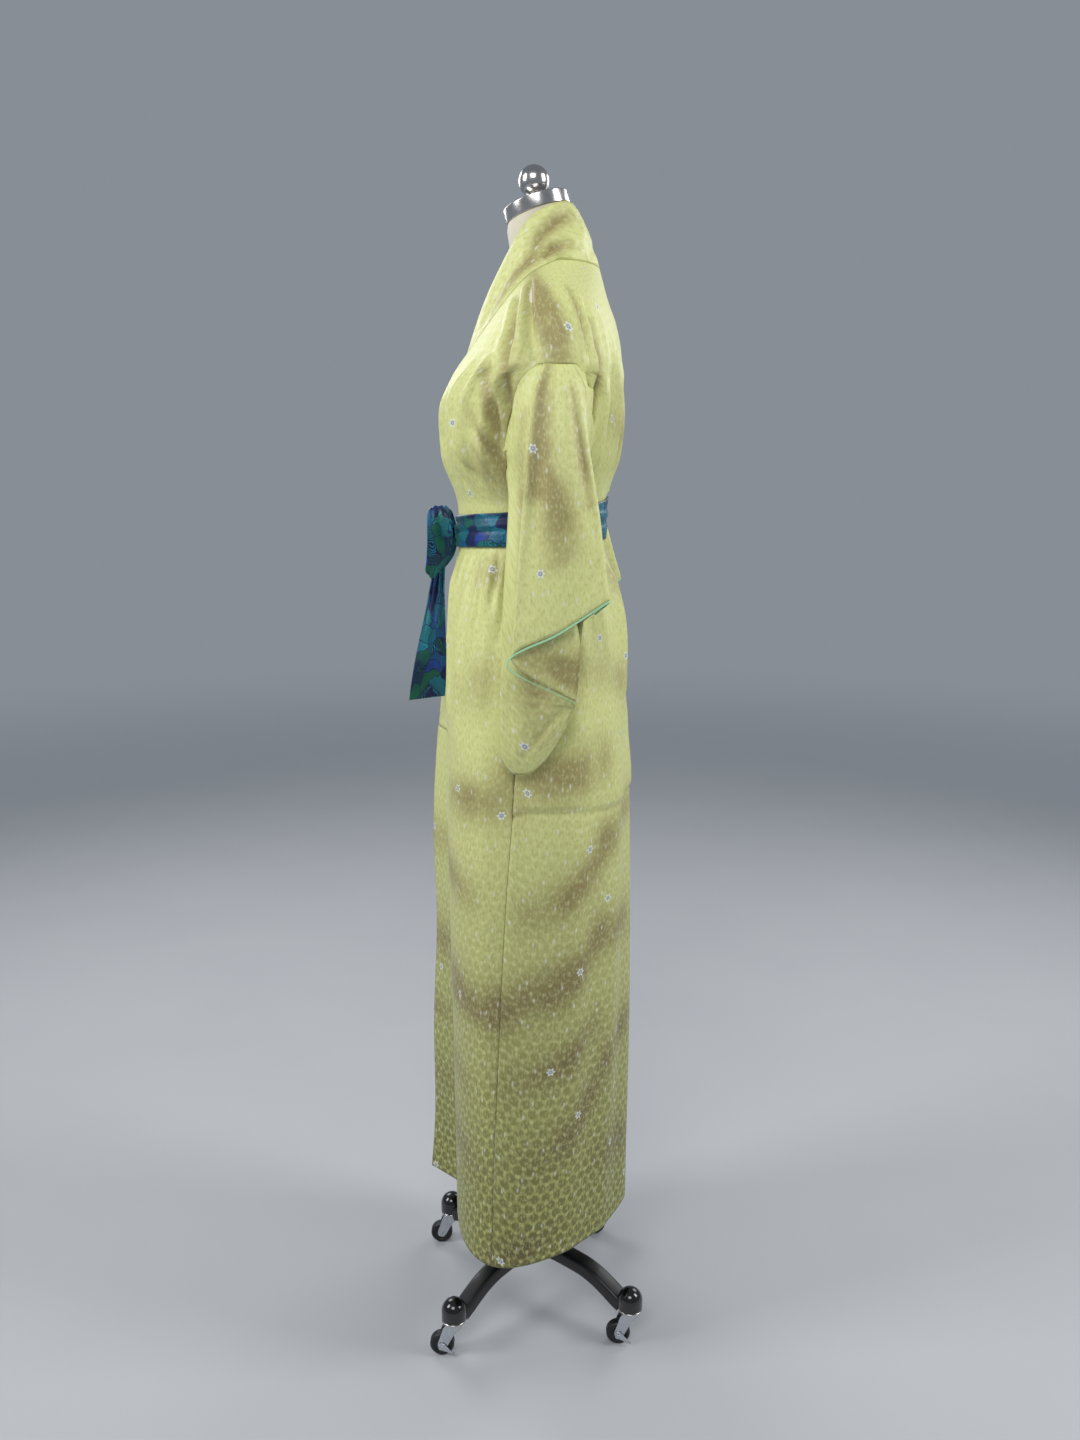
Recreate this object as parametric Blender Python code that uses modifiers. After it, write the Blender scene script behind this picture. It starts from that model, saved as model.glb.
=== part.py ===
# Kimono robe on a wheeled dress form, closed left over right with a soft sash.
# Metres, Z up from the floor. The front faces -Y and the wearer's left hand is at +X.

import math

import bpy
import bmesh
import numpy as np
from mathutils import Vector


def table(columns, *rows):
    """A short table as a dictionary of its named columns."""
    return dict(zip(columns.split(), np.array(rows, float).T))


# Cloth
wall = 0.0016
collarWall = 0.0026
sashWall = 0.0024
seamGap = 0.0003
underlap = 0.0075  # how far the right front lies inside the left one
collarLift = 0.0024  # where it stands up round the neck, the collar starts this far above the seam
cornerGap = 0.0020  # the body is cut back this far where the front seam turns into the neck
neckSeam = 1.655
sideOpening = 1.290  # the side seam starts here, under the open slit below the sleeve
sleeveTop = 1.500

# The robe's outline at each height: half its width, y of its widest line, of its front and of its
# back, and how square the front and the back are
robe = table(
    "height halfWidth middle front back squareFront squareBack",
    (0.190, 0.207, -0.042, -0.129, 0.150, 2.3, 1.6),
    (0.450, 0.203, -0.026, -0.130, 0.150, 2.5, 1.8),
    (0.730, 0.199, -0.006, -0.133, 0.147, 2.8, 2.1),
    (0.900, 0.196, 0.007, -0.134, 0.144, 2.9, 2.25),
    (1.060, 0.189, 0.010, -0.131, 0.138, 2.7, 2.3),
    (1.150, 0.177, 0.008, -0.129, 0.133, 2.5, 2.2),
    (1.200, 0.165, 0.006, -0.126, 0.124, 2.4, 2.2),
    (1.240, 0.149, 0.004, -0.119, 0.111, 2.3, 2.2),
    (1.262, 0.1395, 0.004, -0.1135, 0.104, 2.2, 2.2),
    (1.290, 0.138, 0.004, -0.113, 0.103, 2.2, 2.2),
    (1.320, 0.140, 0.004, -0.114, 0.104, 2.2, 2.2),
    (1.350, 0.158, 0.006, -0.121, 0.110, 2.2, 2.2),
    (1.400, 0.188, 0.012, -0.134, 0.123, 2.3, 2.2),
    (1.456, 0.206, 0.020, -0.139, 0.128, 2.2, 2.2),
    (1.500, 0.2215, 0.027, -0.122, 0.128, 2.1, 2.1),
    (1.540, 0.213, 0.028, -0.094, 0.125, 2.0, 2.1),
    (1.575, 0.197, 0.028, -0.068, 0.118, 2.0, 2.0),
    (1.600, 0.173, 0.028, -0.050, 0.109, 2.0, 2.0),
    (1.620, 0.143, 0.029, -0.038, 0.103, 2.0, 2.0),
    (1.640, 0.106, 0.031, -0.027, 0.098, 2.0, 2.0),
    (1.655, 0.079, 0.034, -0.018, 0.094, 2.0, 2.0),
)

# Reach is the distance round the cloth from the middle of the front. The collar's seam, its free
# edge and the overlap's seam each run down the front at these reaches.
collarSeam = table(
    "height reach",
    (0.970, -0.030),
    (1.100, -0.029),
    (1.290, -0.022),
    (1.400, -0.010),
    (1.456, 0.004),
    (1.490, 0.020),
    (1.508, 0.036),
    (1.547, 0.062),
    (1.575, 0.082),
    (1.600, 0.095),
    (1.620, 0.101),
    (1.640, 0.106),
    (1.655, 0.104),
)
collarEdge = table(
    "height reach",
    (0.970, -0.085),
    (1.100, -0.084),
    (1.290, -0.077),
    (1.400, -0.064),
    (1.456, -0.052),
    (1.490, -0.036),
    (1.508, -0.020),
    (1.530, 0.000),
)
collarEnd = 0.970
crossing = 1.530
# The free edge of the collar above the crossing, from the crossing round to the back of the neck
neckEdge = table(
    "x y z",
    (0.000, -0.106, 1.530), (0.018, -0.088, 1.570), (0.033, -0.069, 1.615), (0.045, -0.049, 1.652),
    (0.055, -0.035, 1.675), (0.063, -0.022, 1.694), (0.066, -0.006, 1.7135), (0.062, 0.017, 1.7285),
    (0.042, 0.041, 1.7405), (0.000, 0.0560, 1.7475),
)
overlapSeam = table(
    "height x", (0.190, 0.036), (0.900, 0.030), (1.290, 0.012), (1.420, -0.008), (1.440, -0.010)
)
overlapTop = 1.425
# The overlap's free edge hangs forward: its angle away from the front at each height
overlapFlare = table(
    "height angle",
    (0.190, 46), (0.300, 40), (0.500, 33), (0.850, 26), (1.020, 17), (1.200, 3), (1.260, 0), (1.600, 0),
)
overlapWidth = 0.085
overlapBend = 0.030
sideSeam = table(
    "height y",
    (0.190, -0.065), (0.370, -0.059), (0.630, -0.048), (0.770, -0.040), (0.950, -0.027), (1.290, -0.014),
)
armholeFront = table(
    "height y",
    (1.290, -0.0145), (1.320, -0.026), (1.350, -0.035), (1.370, -0.037), (1.400, -0.036),
    (1.430, -0.033), (1.460, -0.025), (1.485, -0.012), (1.500, 0.006), (1.600, 0.013), (1.620, 0.018),
    (1.640, 0.029), (1.655, 0.046),
)
armholeBack = table(
    "height y",
    (1.290, -0.0135), (1.320, 0.030), (1.350, 0.060), (1.370, 0.070), (1.400, 0.076),
    (1.430, 0.077), (1.460, 0.075), (1.485, 0.066), (1.500, 0.054), (1.600, 0.046), (1.620, 0.045),
    (1.640, 0.049), (1.655, 0.058),
)
# Folds of a body panel, each a ridge down the cloth. Place runs from the front edge (0) to the
# side (1), or on the back from the side to the middle.
frontFolds = table(
    "place width depth low high",
    (0.17, 0.09, 0.0045, 1.335, 1.440),
    (0.33, 0.09, 0.0065, 1.335, 1.500),
    (0.50, 0.09, 0.0070, 1.335, 1.530),
    (0.67, 0.09, 0.0080, 1.340, 1.550),
    (0.84, 0.09, 0.0085, 1.345, 1.550),
    (0.25, 0.09, 0.0055, 0.990, 1.255),
    (0.50, 0.09, 0.0060, 0.950, 1.255),
    (0.75, 0.09, 0.0055, 1.010, 1.255),
)
backFolds = table(
    "place width depth low high",
    (0.143, 0.14, 0.0075, 1.340, 1.540),
    (0.429, 0.14, 0.0065, 1.340, 1.560),
    (0.714, 0.14, 0.0050, 1.340, 1.540),
    (0.286, 0.14, 0.0060, 0.970, 1.255),
    (0.714, 0.14, 0.0050, 1.010, 1.255),
)
tuckHeight = 0.890  # the stitched tuck across the back
tuckDepth = 0.0016
frontColumns = 12
capColumns = 3
backColumns = 7
overlapColumns = 3
collarColumns = 3
bodyRows = (
    0.190, 0.320, 0.480, 0.680, 0.870, 0.900, 0.970, 1.040, 1.110, 1.180, 1.240, 1.262, 1.290, 1.320,
    1.350, 1.370, 1.400, 1.430, 1.460, 1.485, 1.500, 1.537, 1.575, 1.600, 1.620, 1.630, 1.640, 1.655,
)
ringSteps = 400

# Sleeve. Drop is 0 at the shoulder seam, 1 at the cuff edge and sleeveBottom at the bag's seam.
# Each table is one line down the sleeve, in the order in which they stand round its section.
swingRight = 0.050  # the right sleeve hangs this much further back at its cuff
sleeveDrops = (0, 0.036, 0.099, 0.174, 0.249, 0.324, 0.424, 0.549, 0.70, 0.85, 1.0, 1.15, 1.3, 1.5, 1.7)
armholeDrops = 6
cuffRow = 10
armholeHeights = (1.4993, 1.485, 1.460, 1.430, 1.400, 1.370)
sleeveCells = 3
innerEdge = table(
    "drop x y z",
    (0.424, 0.180, 0.050, 1.330), (0.549, 0.188, 0.015, 1.280), (0.70, 0.195, -0.015, 1.220),
    (0.85, 0.199, -0.030, 1.160), (1.0, 0.202, -0.038, 1.100), (1.3, 0.206, -0.043, 1.045),
    (1.5, 0.208, -0.044, 0.999), (1.6, 0.210, -0.040, 0.975), (1.7, 0.214, -0.030, 0.958),
)
innerMiddle = table(
    "drop x y z",
    (0.0, 0.2212, 0.052, 1.4993), (0.1, 0.2190, 0.070, 1.463), (0.324, 0.205, 0.070, 1.385),
    (0.70, 0.210, 0.034, 1.250), (1.0, 0.214, 0.024, 1.140), (1.3, 0.210, 0.006, 1.048),
    (1.5, 0.210, 0.000, 1.008), (1.6, 0.212, -0.005, 0.984), (1.7, 0.216, -0.008, 0.958),
)
innerBack = table(
    "drop x y z",
    (0.0, 0.2214, 0.050, 1.4993), (0.1, 0.2240, 0.064, 1.468), (0.324, 0.2290, 0.070, 1.395),
    (0.70, 0.2330, 0.078, 1.275), (1.0, 0.2370, 0.0655, 1.170), (1.15, 0.2365, 0.060, 1.112),
    (1.3, 0.2340, 0.054, 1.052), (1.5, 0.2300, 0.042, 1.026), (1.6, 0.2250, 0.029, 1.001),
    (1.7, 0.2190, 0.015, 0.978),
)
backFold = table(
    "drop x y z",
    (0.0, 0.2215, 0.046, 1.4993), (0.1, 0.2340, 0.055, 1.470), (0.324, 0.2460, 0.066, 1.402),
    (0.70, 0.2520, 0.084, 1.290), (1.0, 0.2560, 0.098, 1.200),
)
outerMiddle = table(
    "drop x y z",
    (0.0, 0.2217, 0.030, 1.4993), (0.1, 0.2400, 0.030, 1.468), (0.324, 0.2560, 0.030, 1.391),
    (0.70, 0.2620, 0.031, 1.262), (1.0, 0.2630, 0.034, 1.160),
)
frontFold = table(
    "drop x y z",
    (0.0, 0.2215, 0.015, 1.4993), (0.1, 0.2340, 0.003, 1.465), (0.324, 0.2470, -0.006, 1.377),
    (0.70, 0.2530, -0.020, 1.235), (1.0, 0.2550, -0.030, 1.121),
)
turnedFold = table(
    "drop x y z",
    (0.0, 0.2214, 0.0115, 1.4993), (0.1, 0.2270, 0.010, 1.463), (0.324, 0.2350, 0.016, 1.372),
    (0.70, 0.2400, 0.050, 1.195), (0.85, 0.2405, 0.0615, 1.132),
    (1.0, 0.2420, 0.0560, 1.064), (1.15, 0.2395, 0.055, 1.057),
    (1.3, 0.2340, 0.054, 1.052), (1.5, 0.2300, 0.042, 1.026), (1.6, 0.2250, 0.029, 1.001),
    (1.7, 0.2190, 0.015, 0.978),
)
frontMiddle = table(
    "drop x y z",
    (0.0, 0.2213, 0.009, 1.4993), (0.1, 0.2235, -0.004, 1.463), (0.324, 0.2180, -0.012, 1.372),
    (0.70, 0.2280, -0.006, 1.215), (1.0, 0.2310, -0.002, 1.084), (1.3, 0.2290, 0.002, 1.048),
    (1.5, 0.2260, -0.002, 1.008), (1.6, 0.2220, -0.006, 0.984), (1.7, 0.2160, -0.008, 0.958),
)
frontEdge = table(
    "drop x y z",
    (0.424, 0.190, -0.034, 1.330), (0.549, 0.202, -0.036, 1.280), (0.70, 0.210, -0.040, 1.220),
    (0.85, 0.214, -0.043, 1.160), (1.0, 0.216, -0.045, 1.100), (1.3, 0.218, -0.047, 1.045),
    (1.5, 0.218, -0.047, 0.999), (1.6, 0.217, -0.042, 0.975), (1.7, 0.214, -0.030, 0.958),
)
cuffRoll = 0.0013
cuffTip = 0.0062  # the roll hangs this much further out round the tip of the cuff

# Sash
sashRows = table("turn height half", (0, 1.283, 0.022), (90, 1.290, 0.024), (180, 1.305, 0.030))
sashOut = 0.0032
sashBulge = 0.0012
sashColumns = 24
knotCentre = (0.000, -0.1350, 1.284)
knotSize = (0.021, 0.0155, 0.022)
# Middle line of a bow loop from the knot over its top, down and back: outward, forward and upward
# from the knot's middle, and the share of the strip's width that is spread there
bowLine = table(
    "turn out ahead up spread",
    (0, 0.0208, 0.000, 0.0065, 0.30), (1, 0.035, 0.004, 0.026, 0.46), (2, 0.047, 0.007, 0.037, 0.58),
    (3, 0.055, 0.006, 0.024, 0.70), (4, 0.058, 0.003, -0.008, 0.84), (5, 0.056, 0.007, -0.041, 0.74),
    (6, 0.050, 0.016, -0.067, 0.44), (7, 0.045, 0.008, -0.046, 0.66), (8, 0.043, 0.004, -0.018, 0.80),
    (9, 0.036, 0.003, 0.000, 0.56), (10, 0.0208, 0.000, -0.0065, 0.30),
)
bowWidth = 0.045
tailTop = 1.2647
tailBottom = 1.030

# Stand: four legs on a hub, each with a domed cap over a swivelling caster
originShift = 0.01077  # the robe's own middle line stands this far behind the origin
capBottom = 0.058
capTop = 0.0955
capRadius = 0.0195
capOut = 0.1987  # from the pole to the middle of a cap
capTurns = tuple(math.radians(turn) for turn in (50, 140, 230, 320))
capNames = ("back_left", "back_right", "front_right", "front_left")
hubRadius = 0.024
hubBottom = 0.066
hubTop = 0.112
poleRadius = 0.0145
legWidth = 0.028
legDepth = 0.024
legRound = 0.0015
legLine = table(
    "reach height",
    (0.010, 0.0900), (0.060, 0.0925), (0.100, 0.0918), (0.130, 0.086), (0.155, 0.076), (0.175, 0.0665),
    (0.188, 0.0615),
)
legSteps = 9
clearance = 0.0004
wheelRadius = 0.0190
wheelWidth = 0.0160
wheelRound = 0.0022
trail = 0.0190
axleRadius = 0.0026
axleSpare = 0.0005  # round the axle in the wheel's bore
cheek = 0.0022
forkRadius = 0.0165
forkTop = capBottom - clearance
# Side of the fork: level distance from the swivel's axis, height
forkSide = (
    (0.0130, 0.0556), (-0.0130, 0.0556), (-0.0165, 0.0500), (-0.0262, 0.0220), (-0.0240, 0.0135),
    (-0.0145, 0.0130), (-0.0105, 0.0180), (0.0010, 0.0400), (0.0130, 0.0510),
)
leverThick = 0.0016
# Side of the brake lever, from the axle's middle
leverSide = (
    (-0.0062, 0.0030), (-0.0040, 0.0062), (0.0020, 0.0064), (0.0062, 0.0030), (0.0150, -0.0078),
    (0.0205, -0.0125), (0.0190, -0.0142), (0.0110, -0.0105), (0.0010, -0.0064), (-0.0045, -0.0050),
)

# Dress form: half width, widest line, front, back
form = table(
    "height halfWidth middle front back",
    (0.975, 0.118, 0.010, -0.066, 0.090),
    (0.985, 0.146, 0.010, -0.082, 0.108),
    (1.005, 0.160, 0.010, -0.094, 0.119),
    (1.060, 0.167, 0.010, -0.102, 0.125),
    (1.130, 0.160, 0.008, -0.101, 0.117),
    (1.190, 0.144, 0.006, -0.098, 0.104),
    (1.240, 0.126, 0.004, -0.093, 0.090),
    (1.300, 0.121, 0.004, -0.091, 0.086),
    (1.360, 0.133, 0.008, -0.101, 0.095),
    (1.420, 0.149, 0.014, -0.117, 0.106),
    (1.460, 0.162, 0.019, -0.121, 0.112),
    (1.500, 0.176, 0.024, -0.104, 0.116),
    (1.540, 0.186, 0.027, -0.078, 0.117),
)
formSeat = 0.0024  # from the middle of the robe's cloth down to the form's shoulder
formSeatRows = (1.575, 1.600, 1.620, 1.640, 1.651)
formNeck = table(
    "height halfWidth middle front back",
    (1.668, 0.057, 0.022, -0.031, 0.074),
    (1.685, 0.0515, 0.014, -0.0355, 0.0625),
    (1.708, 0.0475, 0.0085, -0.0392, 0.0545),
)
formColumns = 32
neckRadius = 0.0465
neckTilt = math.radians(17.0)
neckMiddle = (0.000, 0.0066, 1.7319)
bandHeight = 0.0185
bandRadius = 0.0480
bandRound = 0.0018
ballRadius = 0.0222
ballMiddle = (0.000, -0.0006, 1.7767)
stemRadius = 0.008
stemHeight = 0.022
stemMiddle = (0.000, 0.0000, 1.7560)

parts = bpy.data.collections.new("kimono_robe_on_dress_form")
cutters = bpy.data.collections.new("cutters")


def clearScene():
    for thing in list(bpy.data.objects):
        bpy.data.objects.remove(thing, do_unlink=True)
    for group in (parts, cutters):
        bpy.context.scene.collection.children.link(group)


def makeMaterial(name, colour, roughness, metallic=0.0):
    material = bpy.data.materials.new(name)
    material.use_nodes = True
    shader = material.node_tree.nodes["Principled BSDF"]
    shader.inputs["Base Color"].default_value = (*colour, 1.0)
    shader.inputs["Roughness"].default_value = roughness
    shader.inputs["Metallic"].default_value = metallic
    material.diffuse_color = (*colour, 1.0)
    return material


silk = makeMaterial("chartreuse_figured_silk", (0.62, 0.68, 0.25), 0.45)
mint = makeMaterial("mint_silk_edge", (0.28, 0.70, 0.36), 0.5)
sashSilk = makeMaterial("printed_blue_green_silk", (0.02, 0.16, 0.33), 0.4)
jersey = makeMaterial("cream_jersey", (0.66, 0.58, 0.42), 0.9)
chrome = makeMaterial("chromed_steel", (0.70, 0.69, 0.68), 0.08, 1.0)
blackPaint = makeMaterial("black_painted_steel", (0.01, 0.01, 0.011), 0.35)
blackPlastic = makeMaterial("black_moulded_plastic", (0.012, 0.012, 0.013), 0.3)
zinc = makeMaterial("zinc_plated_steel", (0.62, 0.63, 0.65), 0.28, 1.0)


def addObject(name, data, material, parent=None):
    thing = bpy.data.objects.new(name, data)
    data.materials.append(material)
    thing.parent = parent or base
    parts.objects.link(thing)
    return thing


def addEmpty(name, place, parent=None, turn=0.0):
    empty = bpy.data.objects.new(name, None)
    empty.location = place
    empty.rotation_euler[2] = turn
    empty.parent = parent
    parts.objects.link(empty)
    return empty


def smoothed(knots, values, at):
    """A cubic through the knots that is level at each turn, so that it never overshoots."""
    width = np.diff(knots)
    slope = np.diff(values) / width
    tangent = np.zeros(len(knots))
    same = slope[1:] * slope[:-1] > 0
    joined = slope[1:] + slope[:-1]
    tangent[1:-1][same] = 2 * (slope[1:] * slope[:-1])[same] / joined[same]
    tangent[0], tangent[-1] = slope[0], slope[-1]
    at = np.clip(at, knots[0], knots[-1])
    cell = np.clip(np.searchsorted(knots, at, side="right") - 1, 0, len(width) - 1)
    t = (at - knots[cell]) / width[cell]
    return (
        (1 + 2 * t) * (1 - t) ** 2 * values[cell]
        + t * (1 - t) ** 2 * width[cell] * tangent[cell]
        + t * t * (3 - 2 * t) * values[cell + 1]
        - t * t * (1 - t) * width[cell] * tangent[cell + 1]
    )


def read(columns, name, at, key="height"):
    return smoothed(columns[key], columns[name], np.asarray(at, float))


def ease(t):
    t = np.clip(t, 0.0, 1.0)
    return t * t * (3 - 2 * t)


def ring(height, inset=0.0):
    """The robe's left half at one height, from the front middle to the back middle: x, y, reach."""
    half, middle, front, back = (read(robe, n, height) for n in ("halfWidth", "middle", "front", "back"))
    square = read(robe, "squareFront", height), read(robe, "squareBack", height)
    angle = np.linspace(-math.pi / 2, math.pi / 2, ringSteps + 1)
    power = np.where(angle < 0, 2 / square[0], 2 / square[1])
    depth = np.where(angle < 0, middle - front - inset, back - middle)
    x = half * np.abs(np.cos(angle)) ** power
    x[[0, -1]] = 0.0
    y = middle + np.sign(angle) * depth * np.abs(np.sin(angle)) ** power
    reach = np.concatenate([[0.0], np.cumsum(np.hypot(np.diff(x), np.diff(y)))])
    return x, y, reach


def reachAtY(height, y, inset=0.0):
    _, ys, reach = ring(height, inset)
    return float(np.interp(y, ys, reach))


def reachAtX(height, x, inset=0.0):
    """The reach on the front where the cloth is this far to the side."""
    xs, _, reach = ring(height, inset)
    front = slice(0, int(np.argmax(xs)))
    return math.copysign(float(np.interp(abs(x), xs[front], reach[front])), x)


def insetAt(height, right):
    """The right front lies inside the left one, but not above the collar's crossing."""
    return underlap * float(1 - ease((height - crossing - 0.012) / 0.055)) if right else 0.0


def onRobe(height, reaches, inset=0.0, flare=0.0):
    """Points at one height and many reaches. A reach past the middle of the front may hang forward."""
    xs, ys, reach = ring(height, inset)
    reaches = np.asarray(reaches, float)
    x = np.sign(reaches) * np.interp(np.abs(reaches), reach, xs)
    y = np.interp(np.abs(reaches), reach, ys)
    if flare > 0:
        past = np.maximum(-reaches, 0.0)
        steps = np.linspace(0.0, max(past.max(), 1e-6), 60)
        angle = flare * ease(steps / overlapBend)
        run = np.concatenate([[0.0], np.cumsum(np.diff(steps) * np.cos(angle[1:]))])
        forward = np.concatenate([[0.0], np.cumsum(np.diff(steps) * np.sin(angle[1:]))])
        away = past > 0
        x = np.where(away, -np.interp(past, steps, run), x)
        y = np.where(away, ys[0] - np.interp(past, steps, forward), y)
    return np.stack([x, y, np.full_like(x, height)], axis=1)


def flareAt(height, right):
    return 0.0 if right else math.radians(float(read(overlapFlare, "angle", height)))


def foldDepth(folds, place, height):
    """How far the cloth stands out at places across a panel: a soft ridge for each fold."""
    out = np.zeros_like(place)
    for at, width, depth, low, high in zip(*(folds[n] for n in ("place", "width", "depth", "low", "high"))):
        along = ease((height - low) / 0.05) * ease((high - height) / 0.05)
        out += depth * along * np.exp(-(((place - at) / (0.5 * width)) ** 2))
    return out


def pushedOut(points, centre, distance):
    """Moves points level and away from the robe's middle."""
    away = points[:, :2] - np.array(centre)
    away /= np.maximum(np.linalg.norm(away, axis=1, keepdims=True), 1e-9)
    moved = points.copy()
    moved[:, :2] += away * np.asarray(distance)[:, None]
    return moved


def sheet(name, grid, material, thickness, keep=None, flip=False):
    """A grid of points as cloth: its faces, but those that keep leaves out, thickened to a wall."""
    rows, columns = grid.shape[:2]
    mesh = bpy.data.meshes.new(name)
    index = np.arange(rows * columns).reshape(rows, columns)
    faces = np.stack([index[:-1, :-1], index[:-1, 1:], index[1:, 1:], index[1:, :-1]], axis=-1)
    chosen = faces.reshape(-1, 4) if keep is None else faces[keep]
    if flip:
        chosen = chosen[:, ::-1]
    mesh.from_pydata(grid.reshape(-1, 3).tolist(), [], chosen.tolist())
    work = bmesh.new()
    work.from_mesh(mesh)
    bmesh.ops.remove_doubles(work, verts=work.verts, dist=0.00002)
    loose = [v for v in work.verts if not v.link_faces]
    bmesh.ops.delete(work, geom=loose, context="VERTS")
    work.to_mesh(mesh)
    work.free()
    mesh.shade_smooth()
    cloth = addObject(name, mesh, material)
    solid = cloth.modifiers.new("Cloth wall", "SOLIDIFY")
    solid.thickness = thickness
    solid.offset = 0.0
    return cloth


def mirrored(grid, right):
    """A grid worked out for the wearer's left, turned over for the right."""
    return grid * np.array([-1.0, 1.0, 1.0]) if right else grid


def innerReach(height, right):
    """Where a body panel ends at the front: at the overlap's seam or, above it, the collar's."""
    collar = float(read(collarSeam, "reach", height)) if height >= collarEnd else -1.0
    if height >= overlapTop:
        return collar
    x = float(read(overlapSeam, "x", height))
    return max(collar, reachAtX(height, x, insetAt(height, right)))


def backReaches(height, start, end, place):
    """Even steps round the back. Over the shoulder they follow the oval's angle, closer at its ends."""
    even = start + (end - start) * place
    reach = ring(height)[2]
    turns = np.linspace(0, 1, len(reach))
    limits = np.interp([start, end], reach, turns)
    turned = np.interp(limits[0] + (limits[1] - limits[0]) * place, turns, reach)
    return even + (turned - even) * ease((height - sleeveTop) / 0.06)


def makeBodyPanel(name, right):
    """One strip of cloth from the front hem over the shoulder to the back hem."""
    rows = []
    keep = []
    for height in bodyRows:
        inset = insetAt(height, right)
        lean = flareAt(height, right)
        total = ring(height, inset)[2][-1]
        if height < sideOpening:
            seam = reachAtY(height, float(read(sideSeam, "y", height)), inset)
            frontEdge, backEdge = seam - seamGap, seam + seamGap
        else:
            frontEdge = reachAtY(height, float(read(armholeFront, "y", height)), inset)
            backEdge = reachAtY(height, float(read(armholeBack, "y", height)), inset)
        inner = innerReach(height, right) + seamGap + cornerGap * float(ease((height - 1.61) / 0.045))
        place = np.linspace(0, 1, frontColumns + 1)
        front = onRobe(height, inner + (frontEdge - inner) * place, inset, lean)
        middle = float(read(robe, "middle", height))
        covered = 1 - 0.75 * ease((0.6 - place) / 0.4) if right else 1.0
        front = pushedOut(front, (0, middle), covered * foldDepth(frontFolds, place, height))
        cap = onRobe(height, np.linspace(frontEdge, backEdge, capColumns + 1)[1:-1], inset)
        place = np.linspace(0, 1, backColumns + 1)
        back = onRobe(height, backReaches(height, backEdge, total - seamGap, place), inset)
        ridge = foldDepth(backFolds, place, height)
        tuck = tuckDepth * ease((height - tuckHeight + 0.01) / 0.02) * ease((0.96 - height) / 0.05)
        back = pushedOut(back, (0, middle), ridge + tuck * np.sin(math.pi * place) ** 0.5)
        rows.append(np.concatenate([front, cap, back]))
        cells = np.ones(frontColumns + capColumns + backColumns, bool)
        if height < sleeveTop:
            cells[frontColumns : frontColumns + capColumns] = False
        keep.append(cells)
    grid = mirrored(np.array(rows), right)
    sheet(name, grid, silk, wall, np.array(keep[:-1]), flip=right)


def makeOverlap(name, right):
    """The front strip between the body's seam and its own free edge, or the collar above."""
    rows = []
    heights = [h for h in bodyRows if h <= overlapTop]
    heights.insert(heights.index(collarEnd), collarEnd - 2 * seamGap)
    for height in heights:
        inset = insetAt(height, right)
        outer = innerReach(height, right) - seamGap
        inner = float(read(collarSeam, "reach", height)) + seamGap if height >= collarEnd else -overlapWidth
        if outer - inner < 0.003:
            break
        reaches = np.linspace(inner, outer, overlapColumns + 1)
        rows.append(onRobe(height, reaches, inset, flareAt(height, right)))
    grid = mirrored(np.array(rows), right)
    sheet(name, grid, silk, wall, flip=right)


def alongCurve(points, fractions):
    """Points at fractions of a smooth curve's length through a few given points."""
    steps = np.linalg.norm(np.diff(points, axis=0), axis=1)
    length = np.concatenate([[0.0], np.cumsum(steps)])
    at = np.asarray(fractions) * length[-1]
    return np.stack([smoothed(length, points[:, i], at) for i in range(3)], axis=1)


def collarHalf(right):
    """The collar's seam and free edges on one side, from its lower end to the back of the neck."""
    seam, edge = [], []
    heights = [collarEnd + 2 * seamGap] + [h for h in bodyRows if h > collarEnd]
    for height in heights:
        inset = insetAt(height, right)
        lean = flareAt(height, right)
        reach = float(read(collarSeam, "reach", height)) - seamGap
        seam.append(onRobe(height, [reach], inset, lean)[0])
        if height <= crossing:
            free = float(read(collarEdge, "reach", height))
            edge.append(onRobe(height, [free], inset, lean)[0])
    total = ring(neckSeam)[2][-1]
    start = float(read(collarSeam, "reach", neckSeam))
    around = np.linspace(start, total, 9)[1:]
    seam += list(onRobe(neckSeam, around))
    seam = np.array(seam)
    upper = np.array([neckEdge[n] for n in "xyz"]).T
    upper[0] = edge[-1]
    if right:
        upper[1, 1] += 0.5 * underlap
    above = seam[len(edge) - 1 :]
    run = np.concatenate([[0.0], np.cumsum(np.linalg.norm(np.diff(above, axis=0), axis=1))])
    edge += list(alongCurve(upper, run[1:] / run[-1]))
    return seam, np.array(edge)


def makeCollar():
    """One folded band, standing up round the neck and lying flat down both fronts."""
    leftSeam, leftEdge = collarHalf(False)
    rightSeam, rightEdge = (mirrored(line, True) for line in collarHalf(True))
    seam = np.concatenate([leftSeam, rightSeam[-2::-1]])
    edge = np.concatenate([leftEdge, rightEdge[-2::-1]])
    across = np.linspace(0, 1, collarColumns + 1)[None, :, None]
    lift = collarLift * ease((seam[:, 2] - 1.56) / 0.06)
    toEdge = edge - seam
    unit = toEdge / np.linalg.norm(toEdge, axis=1, keepdims=True)
    base = seam + unit * lift[:, None]
    grid = base[:, None, :] * (1 - across) + edge[:, None, :] * across
    standing = ease((seam[:, 2] - 1.56) / 0.09)[:, None, None]
    centre = np.array([0.0, 0.01, 0.0])
    outward = grid - centre
    outward[..., 2] = 0
    outward /= np.maximum(np.linalg.norm(outward, axis=2, keepdims=True), 1e-9)
    grid = grid + outward * 0.005 * standing * np.sin(math.pi * across)
    sheet("collar", grid, silk, collarWall)


def armholeEdge(edges, height, inward):
    """A point of the sleeve's seam, just inside the armhole's edge."""
    held = min(height, sleeveTop)
    reach = reachAtY(held, float(read(edges, "y", held))) + inward * (0.5 * wall + 2 * seamGap)
    point = onRobe(held, [reach])[0]
    point[2] = height
    return point


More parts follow.
